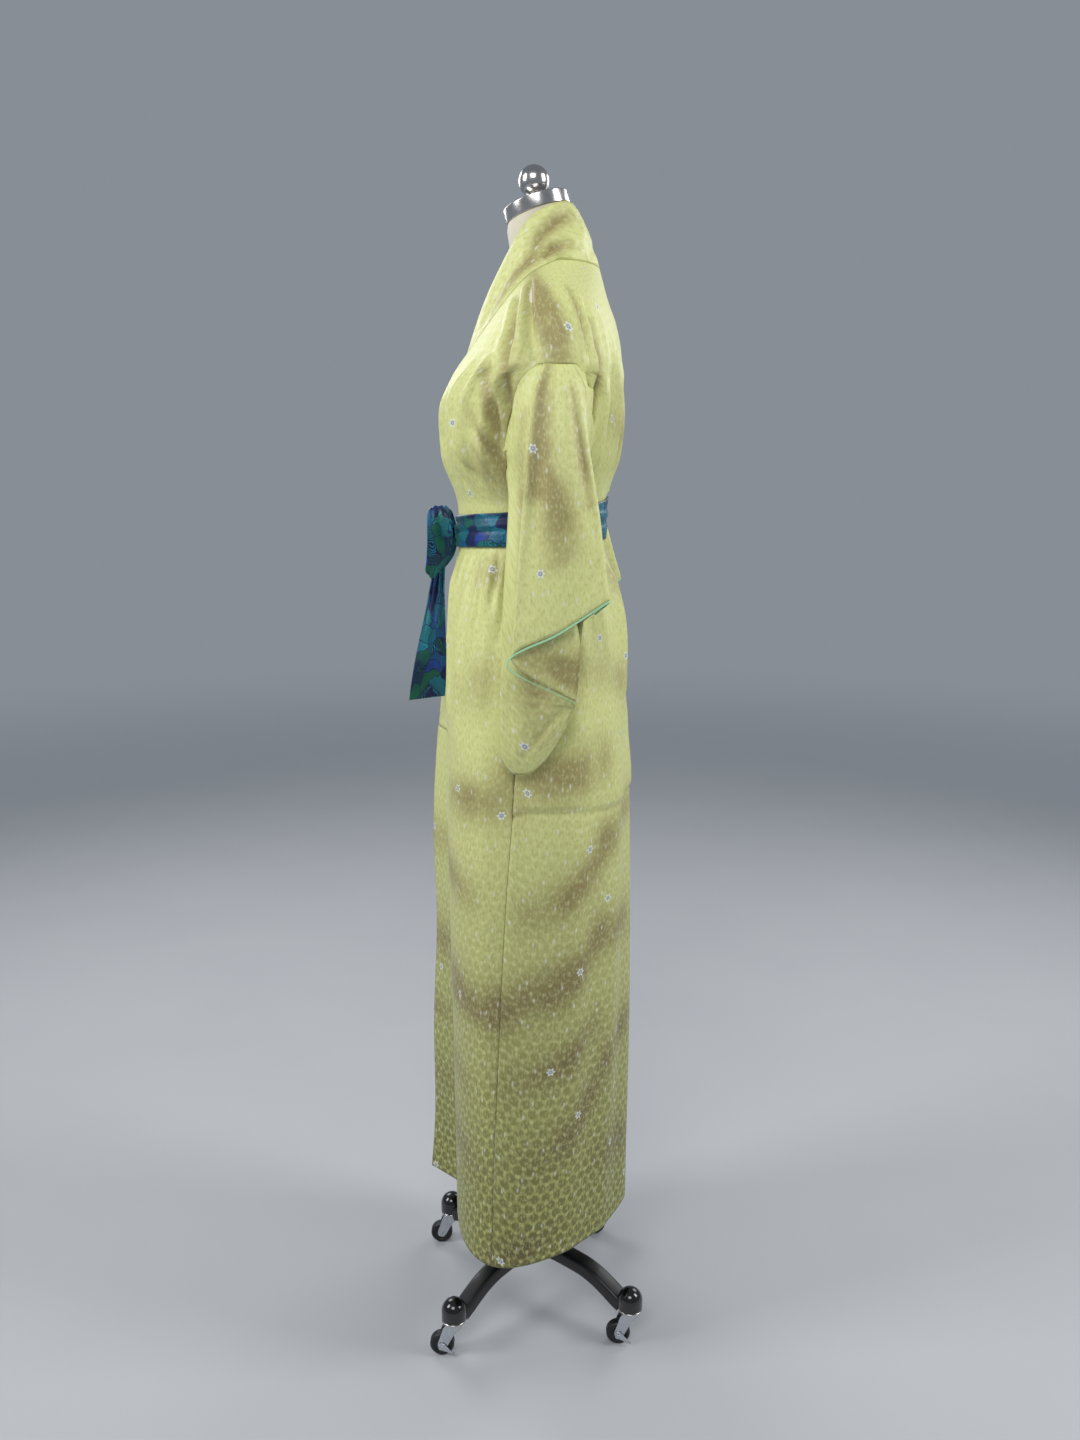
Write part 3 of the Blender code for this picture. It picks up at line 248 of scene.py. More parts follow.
def slipped(strokes, side, da, db):  # on the right the same strokes, moved and a little weaker
    if side == left:
        return strokes
    moved = dict(strokes)
    for k, d in (("a0", da), ("a1", da), ("b0", db), ("b1", db)):
        moved[k] = moved[k] + d
    moved["height"] = moved["height"] * 0.9
    return moved


def named(word, side):
    return word + ("left" if side == left else "right")


def normalsOf(points):
    return unit(np.cross(np.gradient(points, axis=1), np.gradient(points, axis=0)))


def clothLengths(points, across):
    # A cloth map in metres: the same strip width all the way, and each column's true length
    along = runLength(*np.moveaxis(np.diff(points, axis=0), -1, 0).swapaxes(1, 2)).T
    return np.stack([np.broadcast_to(across, along.shape), along], axis=-1)


# Meshes
def gridFaces(rows, columns, closed=False, capped=False):
    # The quads of a grid of points. Closed joins its last column to its first; capped adds both ends.
    index = np.arange(rows * columns).reshape(rows, columns)
    ends = [index[0, ::-1].tolist(), index[-1].tolist()] if capped else []
    if closed:
        index = np.concatenate([index, index[:, :1]], axis=1)
    quads = np.stack([index[:-1, :-1], index[:-1, 1:], index[1:, 1:], index[1:, :-1]], axis=-1)
    return quads.reshape(-1, 4).tolist() + ends


def addPiece(name, shapes, material, body, nodes, solid=True, fields=None, cloth=None):
    # Joins (points, faces) shapes in one mesh. Solid shapes are welded and turned outwards.
    points, faces = [], []
    start = 0
    for shapePoints, shapeFaces in shapes:
        points.append(np.asarray(shapePoints, float).reshape(-1, 3))
        faces += [[start + i for i in face] for face in shapeFaces]
        start += len(points[-1])
    points = np.concatenate(points)
    mesh = bpy.data.meshes.new(name)
    mesh.from_pydata(points.tolist(), [], faces)
    for key, values in (fields or {}).items():
        if values.shape[-1] == 2 and values.ndim == 2:
            layer = mesh.uv_layers.new(name=key)
            order = np.zeros(len(mesh.loops), np.int32)
            mesh.loops.foreach_get("vertex_index", order)
            layer.data.foreach_set("uv", values[order].astype(np.float32).ravel())
        elif values.ndim == 2:
            layer = mesh.attributes.new(key, "FLOAT_VECTOR", "POINT")
            layer.data.foreach_set("vector", values.astype(np.float32).ravel())
        else:
            layer = mesh.attributes.new(key, "FLOAT", "POINT")
            layer.data.foreach_set("value", values.astype(np.float32))
    work = bmesh.new()
    work.from_mesh(mesh)
    bmesh.ops.remove_doubles(work, verts=work.verts, dist=0.00001)
    bmesh.ops.delete(work, geom=[v for v in work.verts if not v.link_faces], context="VERTS")
    if solid:
        bmesh.ops.recalc_face_normals(work, faces=work.faces)
    work.to_mesh(mesh)
    work.free()
    mesh.shade_smooth()
    if solid:
        mesh.set_sharp_from_angle(angle=math.radians(38))
    mesh.materials.append(material)
    piece = bpy.data.objects.new(name, mesh)
    bpy.context.scene.collection.objects.link(piece)
    if cloth:
        wall = piece.modifiers.new("Cloth", "SOLIDIFY")
        wall.thickness = cloth
        wall.offset = 0.0
        wall.use_even_offset = False
    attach(piece, body)
    if nodes:
        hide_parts(*nodes)
    return piece


def turnedShape(profile, steps, place=(0, 0, 0), axes=None):
    # Profile of (radius, height) turned round: (r cos a, r sin a, h), then set along the given axes
    profile = np.asarray(profile, float)
    angle = 2 * math.pi * np.arange(steps) / steps
    r, h = profile[:, :1], profile[:, 1:]
    points = np.stack([r * np.cos(angle), r * np.sin(angle), h * np.ones_like(angle)], axis=-1)
    if axes is not None:
        points = points @ np.asarray(axes, float)
    return points + np.asarray(place, float), gridFaces(len(profile), steps, True)


def roundedLine(corners, radius, steps=5, closed=True):
    # A line whose corners are quarter turns: a parabola from one side to the next at each corner
    corners = np.asarray(corners, float)
    before, after = np.roll(corners, 1, axis=0), np.roll(corners, -1, axis=0)
    reach = np.minimum(radius, 0.48 * np.linalg.norm(before - corners, axis=1))
    reach = np.minimum(reach, 0.48 * np.linalg.norm(after - corners, axis=1))[:, None]
    if not closed:
        reach[[0, -1]] = 0.0
    start, end = corners + unit(before - corners) * reach, corners + unit(after - corners) * reach
    t = np.linspace(0, 1, steps)[None, :, None]
    bent = (1 - t) ** 2 * start[:, None] + 2 * t * (1 - t) * corners[:, None] + t * t * end[:, None]
    return bent.reshape(-1, corners.shape[1])


def plateShape(outline, thickness, roundness, place, axes):
    # A flat outline as a plate: rings of it that shrink by r(1 - cos a) and rise by r sin a at each rim
    outline = np.asarray(outline, float)
    ahead = np.roll(outline, -1, axis=0) - np.roll(outline, 1, axis=0)
    inward = unit(np.stack([-ahead[:, 1], ahead[:, 0]], axis=1))
    x, y = outline.T
    inward *= np.sign(np.sum(x * np.roll(y, -1) - y * np.roll(x, -1)))
    turn = np.linspace(0, math.pi / 2, 4)
    shrink = roundness * (1 - np.cos(turn))
    rise = 0.5 * thickness - roundness + roundness * np.sin(turn)
    shrink, rise = np.concatenate([shrink[::-1], shrink]), np.concatenate([-rise[::-1], rise])
    flat = outline[None] + inward[None] * shrink[:, None, None]
    points = np.concatenate([flat, np.broadcast_to(rise[:, None, None], flat[..., :1].shape)], axis=-1)
    faces = gridFaces(len(shrink), len(outline), True, True)
    return points @ np.asarray(axes, float) + np.asarray(place, float), faces


# Materials
def linear(hexCode):
    values = np.array([int(hexCode[i : i + 2], 16) for i in (1, 3, 5)]) / 255
    values = np.where(values <= 0.04045, values / 12.92, ((values + 0.055) / 1.055) ** 2.4)
    return (*values.tolist(), 1.0)


def put(tree, kind, inputs, out=0, **settings):
    # Adds a node with its settings, and links or sets its inputs, by name or in order. A colour Mix has
    # its share at input 0, its two colours at inputs 6 and 7, and its result at output 2.
    new = tree.nodes.new("ShaderNode" + kind)
    for key, value in settings.items():
        setattr(new, key, value)
    for key, value in inputs.items() if isinstance(inputs, dict) else enumerate(inputs):
        if isinstance(value, bpy.types.NodeSocket):
            tree.links.new(value, new.inputs[key])
        else:
            new.inputs[key].default_value = value
    return new.outputs[out]


def startMaterial(name):
    material = bpy.data.materials.new(name)
    material.use_nodes = True
    material.node_tree.nodes.clear()
    return material, material.node_tree


def finishMaterial(tree, **inputs):
    shader = put(tree, "BsdfPrincipled", {key.replace("_", " "): value for key, value in inputs.items()})
    put(tree, "OutputMaterial", {"Surface": shader}, out=slice(0))


# A pattern's scale is how many of its marks lie in a metre, and its comment gives their real size
silkLook = dict(
    pitch=0.0177,  # from one woven floret to the next, in metres
    ragged=1.5, raggedScale=420.0,  # how uneven the florets' edges are, in steps of 2.4 mm
    cloudBlotchScale=26.0,  # blotches in the clouds, dyed bands and painted shade alike, 38 mm apart
    speckScale=300.0,  # brocade grain, 3.3 mm: coarser than its threads, so that it shows
    fleckScale=(44.0, 17.0, 1.0),  # white flecks, 23 mm apart across the cloth and 59 mm down it
    blossomRadius=0.0068, petals=6,
    ground="#DADD92", floret="#CACC7F", net="#E6EAB0",
    # Deep colours at the hem: deeper dye, and painted shade of the light falling off toward the floor
    deepGround="#8E8D4C", deepFloret="#70703A", deepNet="#B2B46E",
    # The haze colours are the clouds' colours: dyed bands, and painted shade in folds and creases
    haze="#A1955F", deepHaze="#665A38", deepHazeNet="#9C9160",
    blossom="#E9EBE4", heart="#7E8692", roughness=0.47, sheen=0.08,
)


def makeSilk():
    # Figured satin silk: a soft sheen, woven florets in a light net, a star at every other corner of
    # the net, and clouds: dyed bands, and painted shade in the troughs of folds and creases
    look = silkLook
    material, tree = startMaterial("figuredSilk")
    lengths = put(tree, "UVMap", (), uv_map="cloth")
    low = put(tree, "Attribute", (), out=2, attribute_name="depth")

    # Three crossed waves whose phases add to nothing: their cosines add up to 3 in the florets and to
    # -1.5 at the corners, their sines to 2.6 at every other corner
    turn = 2 * math.pi / look["pitch"]
    third = 1 / math.sqrt(3)
    directions = ((1, -third), (0, 2 * third), (-1, -third))
    sums = {}
    for kind in ("COSINE", "SINE"):
        waves = []
        for a, b in directions:
            phase = put(tree, "VectorMath", (lengths, (a * turn, b * turn, 0.0)), out=1,
                        operation="DOT_PRODUCT")
            waves.append(put(tree, "Math", (phase,), operation=kind))
        pair = put(tree, "Math", (waves[0], waves[1]), operation="ADD")
        sums[kind] = put(tree, "Math", (pair, waves[2]), operation="ADD")
    rough = put(tree, "TexNoise", {"Vector": lengths, "Scale": look["raggedScale"], "Detail": 2.0},
                noise_dimensions="2D")
    rough = put(tree, "Math", (rough, -0.5), operation="ADD")
    rough = put(tree, "Math", (rough, look["ragged"]), operation="MULTIPLY")
    torn = put(tree, "Math", (sums["COSINE"], rough), operation="ADD")
    floret = put(tree, "MapRange", {"Value": torn, "From Min": -0.7, "From Max": 0.1})
    net = put(tree, "MapRange", {"Value": torn, "From Min": -0.75, "From Max": -1.25})
    star = put(tree, "MapRange", {"Value": sums["SINE"], "From Min": 1.55, "From Max": 2.35})
    figure = put(tree, "Math", (net, 0.45, star), operation="MULTIPLY_ADD", use_clamp=True)

    # Colours: each deepens down the skirt, with deeper dye and painted shade of the light falling off
    # toward the floor; the clouds, dyed bands and painted shade in folds, turn them taupe and olive
    colours = []
    for top, bottom in (("ground", "deepGround"), ("floret", "deepFloret"), ("net", "deepNet"),
                        ("haze", "deepHaze"), ("haze", "deepHazeNet")):
        colours.append(put(tree, "Mix", {0: low, 6: linear(look[top]), 7: linear(look[bottom])}, out=2,
                           data_type="RGBA"))
    ground, dark, light, haze, hazeLight = colours
    cloudAndShade = put(tree, "Attribute", (), out=2, attribute_name="cloudAndShade")
    patches = put(tree, "TexNoise", {"Vector": lengths, "Scale": look["cloudBlotchScale"], "Detail": 5.0},
                  noise_dimensions="2D")
    patches = put(tree, "Math", (patches, 1.3, 0.60), operation="MULTIPLY_ADD")
    cloudAndShade = put(tree, "Math", (cloudAndShade, patches), operation="MULTIPLY", use_clamp=True)
    pale = put(tree, "Math", (cloudAndShade, 0.55), operation="MULTIPLY")
    ground = put(tree, "Mix", {0: cloudAndShade, 6: ground, 7: haze}, out=2, data_type="RGBA")
    dark = put(tree, "Mix", {0: cloudAndShade, 6: dark, 7: haze}, out=2, data_type="RGBA")
    light = put(tree, "Mix", {0: pale, 6: light, 7: hazeLight}, out=2, data_type="RGBA")
    strength = put(tree, "Math", (low, 0.66, 0.18), operation="MULTIPLY_ADD")
    share = put(tree, "Math", (floret, strength), operation="MULTIPLY")
    colour = put(tree, "Mix", {0: share, 6: ground, 7: dark}, out=2, data_type="RGBA")
    share = put(tree, "Math", (figure, strength), operation="MULTIPLY")
    colour = put(tree, "Mix", {0: share, 6: colour, 7: light}, out=2, data_type="RGBA")

    # Brocade grain: pale and olive specks a few millimetres long
    place = put(tree, "VectorMath", (lengths, (1.0, 0.45, 1.0)), operation="MULTIPLY")
    speck = put(tree, "TexNoise", {"Vector": place, "Scale": look["speckScale"], "Detail": 4.0},
                noise_dimensions="2D")
    paleSpeck = put(tree, "MapRange", {"Value": speck, "From Min": 0.52, "From Max": 0.72, "To Max": 0.34})
    colour = put(tree, "Mix", {0: paleSpeck, 6: colour, 7: linear(look["net"])}, out=2, data_type="RGBA")
    darkSpeck = put(tree, "MapRange", {"Value": speck, "From Min": 0.46, "From Max": 0.28, "To Max": 0.30})
    colour = put(tree, "Mix", {0: darkSpeck, 6: colour, 7: haze}, out=2, data_type="RGBA")

    # White flecks, slanted and longer down the cloth than across it
    cell = put(tree, "Mapping", {"Vector": lengths, "Rotation": (0.0, 0.0, 0.30),
                                 "Scale": look["fleckScale"]})
    spot = put(tree, "TexVoronoi", {"Vector": cell, "Scale": 1.0}, voronoi_dimensions="2D")
    fleck = put(tree, "MapRange", {"Value": spot, "From Min": 0.085, "From Max": 0.03, "To Max": 0.55})
    colour = put(tree, "Mix", {0: fleck, 6: colour, 7: linear(look["blossom"])}, out=2, data_type="RGBA")

    # Blossoms: petals where r < R (0.8 + 0.2 cos(petals a)), round a blue-grey heart with a white eye
    flower = put(tree, "Attribute", (), out=1, attribute_name="blossom")
    place = put(tree, "SeparateXYZ", (flower,), out=slice(0, 3))
    flat = put(tree, "VectorMath", (flower, (1.0, 1.0, 0.0)), operation="MULTIPLY")
    radius = put(tree, "VectorMath", (flat,), out=1, operation="LENGTH")
    angle = put(tree, "Math", (place[1], place[0]), operation="ARCTAN2")
    angle = put(tree, "Math", (angle, float(look["petals"])), operation="MULTIPLY")
    lobes = put(tree, "Math", (angle,), operation="COSINE")
    lobes = put(tree, "Math", (lobes, 0.2, 0.8), operation="MULTIPLY_ADD")
    rim = put(tree, "Math", (lobes, look["blossomRadius"]), operation="MULTIPLY")
    share = put(tree, "Math", (radius, rim), operation="DIVIDE")
    rings = (
        (share, 1.10, 0.88, 0.85, "blossom"), (radius, 0.0037, 0.0027, 0.75, "heart"),
        (radius, 0.0013, 0.0007, 0.60, "blossom"),
    )
    for value, start, end, most, name in rings:
        part = put(tree, "MapRange", {"Value": value, "From Min": start, "From Max": end, "To Max": most})
        part = put(tree, "Math", (part, place[2]), operation="MULTIPLY")
        colour = put(tree, "Mix", {0: part, 6: colour, 7: linear(look[name])}, out=2, data_type="RGBA")

    shine = put(tree, "Math", (figure, -0.12, look["roughness"] + 0.04), operation="MULTIPLY_ADD")
    weave = put(tree, "Math", (figure, 0.5, speck), operation="MULTIPLY_ADD")
    bump = put(tree, "Bump", {"Height": weave, "Strength": 0.35, "Distance": 0.0004})
    finishMaterial(
        tree, Base_Color=colour, Roughness=shine, Normal=bump, Sheen_Weight=look["sheen"],
        Sheen_Roughness=0.4, Sheen_Tint=linear("#F2F6C8"), Specular_IOR_Level=0.5, IOR=1.45,
    )
    return material


sashLook = dict(
    navy="#0B1A4A", royal="#14409C", teal="#0F6E86", green="#08604A", sky="#2388A0",
    patch=0.024, stripe=0.0038, outline=0.0011,  # metres
    wanderScale=30.0, wander=0.034,  # the patches' edges bend every 33 mm
    washScale=18.0,  # darker washes, 56 mm apart
    threadScale=900.0,  # threads drawn 1.1 mm apart, coarser than the real ones, so that they show
)


def makeSashSilk():
    # Printed silk, plain weave: small patches of narrow stripes in deep blues, teal and green, outlined
    look = sashLook
    material, tree = startMaterial("printedSashSilk")
    lengths = put(tree, "UVMap", (), uv_map="cloth")
    wander = put(tree, "TexNoise", {"Vector": lengths, "Scale": look["wanderScale"], "Detail": 2.0}, out=1,
                 noise_dimensions="2D")
    reach = (look["wander"], look["wander"], 0.0)
    shift = put(tree, "VectorMath", (wander, reach), operation="MULTIPLY")
    bent = put(tree, "VectorMath", (lengths, shift), operation="ADD")
    size = 1 / look["patch"]
    cells = put(tree, "TexVoronoi", {"Vector": bent, "Scale": size}, out=1, voronoi_dimensions="2D")
    border = put(tree, "TexVoronoi", {"Vector": bent, "Scale": size}, voronoi_dimensions="2D",
                 feature="DISTANCE_TO_EDGE")
    pick = put(tree, "SeparateColor", (cells,), out=slice(0, 3))

    # Stripes run at one of many slants in each patch: sin(2 pi (u cos a + v sin a) / spacing)
    slant = put(tree, "Math", (pick[0], math.pi), operation="MULTIPLY")
    turned = put(tree, "VectorRotate", {"Vector": bent, "Angle": slant}, rotation_type="Z_AXIS")
    place = put(tree, "SeparateXYZ", (turned,))
    wave = put(tree, "Math", (place, 2 * math.pi / look["stripe"]), operation="MULTIPLY")
    wave = put(tree, "Math", (wave,), operation="SINE")
    stripe = put(tree, "MapRange", {"Value": wave, "From Min": 0.1, "From Max": 0.6, "To Max": 0.9})
    striped = put(tree, "Math", (pick[1], 0.22), operation="GREATER_THAN")
    stripe = put(tree, "Math", (stripe, striped), operation="MULTIPLY")
    colours = []
    choices = ((pick[2], ("navy", "teal", "green", "royal")), (pick[1], ("teal", "green", "sky", "royal")))
    for value, names in choices:
        colour = linear(look[names[0]])
        for step, name in zip((0.30, 0.60, 0.86), names[1:]):
            share = put(tree, "Math", (value, step), operation="GREATER_THAN")
            colour = put(tree, "Mix", {0: share, 6: colour, 7: linear(look[name])}, out=2, data_type="RGBA")
        colours.append(colour)
    colour = put(tree, "Mix", {0: stripe, 6: colours[0], 7: colours[1]}, out=2, data_type="RGBA")
    edge = look["outline"] * size
    edge = put(tree, "MapRange", {"Value": border, "From Min": edge, "From Max": 0.5 * edge, "To Max": 0.9})
    colour = put(tree, "Mix", {0: edge, 6: colour, 7: linear(look["navy"])}, out=2, data_type="RGBA")
    wash = put(tree, "TexNoise", {"Vector": lengths, "Scale": look["washScale"], "Detail": 4.0},
               noise_dimensions="2D")
    wash = put(tree, "MapRange", {"Value": wash, "From Min": 0.4, "From Max": 0.65, "To Max": 0.6})
    colour = put(tree, "Mix", {0: wash, 6: colour, 7: linear(look["navy"])}, out=2, data_type="RGBA")
    thread = put(tree, "TexNoise", {"Vector": lengths, "Scale": look["threadScale"], "Detail": 2.0},
                 noise_dimensions="2D")
    bump = put(tree, "Bump", {"Height": thread, "Strength": 0.25, "Distance": 0.0003})
    finishMaterial(
        tree, Base_Color=colour, Roughness=0.42, Normal=bump, Sheen_Weight=0.2, Sheen_Roughness=0.4,
        Sheen_Tint=linear("#9FD0E0"), Specular_IOR_Level=0.45, IOR=1.45,
    )
    return material


mintLook = dict(
    ground="#93D39C", pale="#BFEBC0", roughness=0.42,
    threadScale=1500.0,  # threads drawn 0.7 mm apart, coarser than the real ones, so that they show
)


def makeMint():
    # Satin bias binding: a mint ground with paler threads, and a soft shine
    look = mintLook
    material, tree = startMaterial("mintSatinPiping")
    place = put(tree, "TexCoord", (), out=3)
    thread = put(tree, "TexNoise", {"Vector": place, "Scale": look["threadScale"], "Detail": 2.0})
    colour = put(tree, "Mix", {0: thread, 6: linear(look["ground"]), 7: linear(look["pale"])}, out=2,
                 data_type="RGBA")
    bump = put(tree, "Bump", {"Height": thread, "Strength": 0.3, "Distance": 0.0002})
    finishMaterial(tree, Base_Color=colour, Roughness=look["roughness"], Normal=bump, Sheen_Weight=0.3,
                   Sheen_Roughness=0.4, IOR=1.45)
    return material


jerseyLook = dict(
    clean="#E6DFC8", soiled="#C9BF9E", roughness=0.92,
    knitScale=1200.0,  # the columns of the knit, 0.8 mm apart
    soilScale=18.0,  # handling marks, 56 mm apart
)


def makeJersey():
    # Cotton jersey cover: matt, with the fine columns of its knit
    look = jerseyLook
    material, tree = startMaterial("creamCottonJersey")
    place = put(tree, "TexCoord", (), out=3)
    columns = put(tree, "VectorMath", (place, (1.0, 1.0, 0.5)), operation="MULTIPLY")
    fine = put(tree, "TexNoise", {"Vector": columns, "Scale": look["knitScale"], "Detail": 2.0})
    soil = put(tree, "TexNoise", {"Vector": place, "Scale": look["soilScale"], "Detail": 3.0})
    shade = put(tree, "Math", (fine, soil), operation="MULTIPLY")
    colour = put(tree, "Mix", {0: shade, 6: linear(look["clean"]), 7: linear(look["soiled"])}, out=2,
                 data_type="RGBA")
    bump = put(tree, "Bump", {"Height": fine, "Strength": 0.5, "Distance": 0.0004})
    finishMaterial(tree, Base_Color=colour, Roughness=look["roughness"], Normal=bump, Sheen_Weight=0.3,
                   Sheen_Roughness=0.5, IOR=1.45)
    return material


def makeMetal(name, light, dark, roughness, wipeScale, stretch=(1.0, 1.0, 1.0)):
    # Polished or plated steel: full metal, with faint wipes and scratches in its gloss
    material, tree = startMaterial(name)
    place = put(tree, "VectorMath", (put(tree, "TexCoord", (), out=3), stretch), operation="MULTIPLY")
    wipes = put(tree, "TexNoise", {"Vector": place, "Scale": wipeScale, "Detail": 5.0})
    colour = put(tree, "Mix", {0: wipes, 6: linear(light), 7: linear(dark)}, out=2, data_type="RGBA")
    gloss = put(tree, "MapRange", {"Value": wipes, "To Min": 0.6 * roughness, "To Max": 1.5 * roughness})
    bump = put(tree, "Bump", {"Height": wipes, "Strength": 0.08, "Distance": 0.0002})
    finishMaterial(tree, Base_Color=colour, Metallic=1.0, Roughness=gloss, Normal=bump)
    return material


def makeBlack(name, light, dark, roughness, grainScale, coat, dustScale=55.0):  # dust 18 mm apart
    # Paint or moulded plastic: near black, a fine skin, and dust that dulls it in patches
    material, tree = startMaterial(name)
    place = put(tree, "TexCoord", (), out=3)
    grain = put(tree, "TexNoise", {"Vector": place, "Scale": grainScale, "Detail": 3.0})
    dust = put(tree, "TexNoise", {"Vector": place, "Scale": dustScale, "Detail": 5.0})
    colour = put(tree, "Mix", {0: dust, 6: linear(dark), 7: linear(light)}, out=2, data_type="RGBA")
    gloss = put(tree, "MapRange", {"Value": dust, "To Min": 0.8 * roughness, "To Max": 1.3 * roughness})
    bump = put(tree, "Bump", {"Height": grain, "Strength": 0.18, "Distance": 0.0003})
    finishMaterial(tree, Base_Color=colour, Roughness=gloss, Normal=bump, Coat_Weight=coat,
                   Coat_Roughness=0.12, IOR=1.5)
    return material


silk = makeSilk()
sashSilk = makeSashSilk()
mint = makeMint()
jersey = makeJersey()
# The wipes are 8 mm apart on the chrome, and 2.4 mm and drawn out upward on the zinc. The grain is
# 1.1 mm on the paint, 3.3 mm on the caps and 1.4 mm on the tyres.
chrome = makeMetal("polishedChrome", light="#D9D6D3", dark="#BDBAB7", roughness=0.20, wipeScale=120.0)
zinc = makeMetal("zincPlatedSteel", light="#D9DCE0", dark="#AEB3B9", roughness=0.24, wipeScale=420.0,
                 stretch=(1.0, 1.0, 0.3))
paint = makeBlack("satinBlackPaint", light="#1B1B1D", dark="#0B0B0C", roughness=0.36, grainScale=900.0,
                  coat=0.15)
capPlastic = makeBlack("glossBlackPlastic", light="#161618", dark="#070708", roughness=0.16,
                       grainScale=300.0, coat=0.6)
tyre = makeBlack("blackNylonTyre", light="#202022", dark="#0E0E0F", roughness=0.45, grainScale=700.0,
                 coat=0.0)
print("materials made")

# Clouds and creases of the body, in metres round the robe from the line under the arm and up
# The clouds are dyed bands, and painted shade in the troughs of folds and creases
bodyCloudsAndShade = table(
    "a0 b0 a1 b1 bow width height",
    (-0.04, 0.950, 0.14, 0.965, -0.010, 0.034, 0.95),
    (0.16, 1.085, 0.30, 1.060, 0.000, 0.030, 0.45),
    (0.05, 1.100, 0.13, 1.095, 0.000, 0.026, 0.45),
    (0.00, 0.745, 0.16, 0.845, -0.012, 0.034, 0.85),
    (0.16, 0.845, 0.33, 0.880, 0.010, 0.030, 0.60),
    (-0.05, 0.610, 0.14, 0.700, -0.016, 0.036, 1.00),
    (0.15, 0.700, 0.31, 0.680, 0.010, 0.034, 0.70),
    (-0.03, 0.490, 0.14, 0.560, -0.010, 0.030, 0.75),
    (0.01, 0.360, 0.18, 0.480, -0.008, 0.030, 0.75),
    (0.19, 0.500, 0.35, 0.520, 0.006, 0.032, 0.70),
    (0.17, 0.330, 0.35, 0.300, 0.006, 0.032, 0.60),
    (-0.06, 0.200, 0.02, 0.228, 0.000, 0.026, 0.60),
    (-0.20, 0.905, -0.05, 0.905, 0.004, 0.030, 0.85),
    (-0.33, 0.790, -0.12, 0.765, 0.008, 0.030, 0.70),
    (-0.33, 0.610, -0.06, 0.590, 0.012, 0.036, 1.00),
    (-0.33, 0.490, -0.15, 0.470, 0.006, 0.022, 0.55),
    (-0.33, 0.370, -0.10, 0.340, 0.006, 0.026, 0.50),
    (-0.16, 1.060, -0.06, 1.085, 0.006, 0.034, 0.40),
    (-0.14, 1.225, -0.05, 1.230, 0.004, 0.024, 0.55),
    (-0.15, 1.375, -0.04, 1.345, 0.006, 0.030, 0.55),
    (-0.078, 1.490, -0.052, 1.400, 0.002, 0.014, 1.10),
    (-0.120, 1.440, -0.040, 1.350, 0.004, 0.012, 0.80),
    (-0.034, 1.590, -0.034, 1.400, 0.002, 0.009, 0.95),
    (-0.004, 1.640, 0.006, 1.580, 0.002, 0.020, 0.70),
    (0.010, 1.590, 0.022, 1.512, 0.002, 0.018, 1.35),
    (0.061, 1.600, 0.064, 1.520, 0.001, 0.006, 0.95),
    (0.090, 1.560, 0.094, 1.420, 0.001, 0.007, 1.05),
    (0.18, 1.440, 0.30, 1.400, 0.010, 0.036, 0.60),
    (0.20, 1.230, 0.32, 1.200, 0.006, 0.030, 0.60),
)
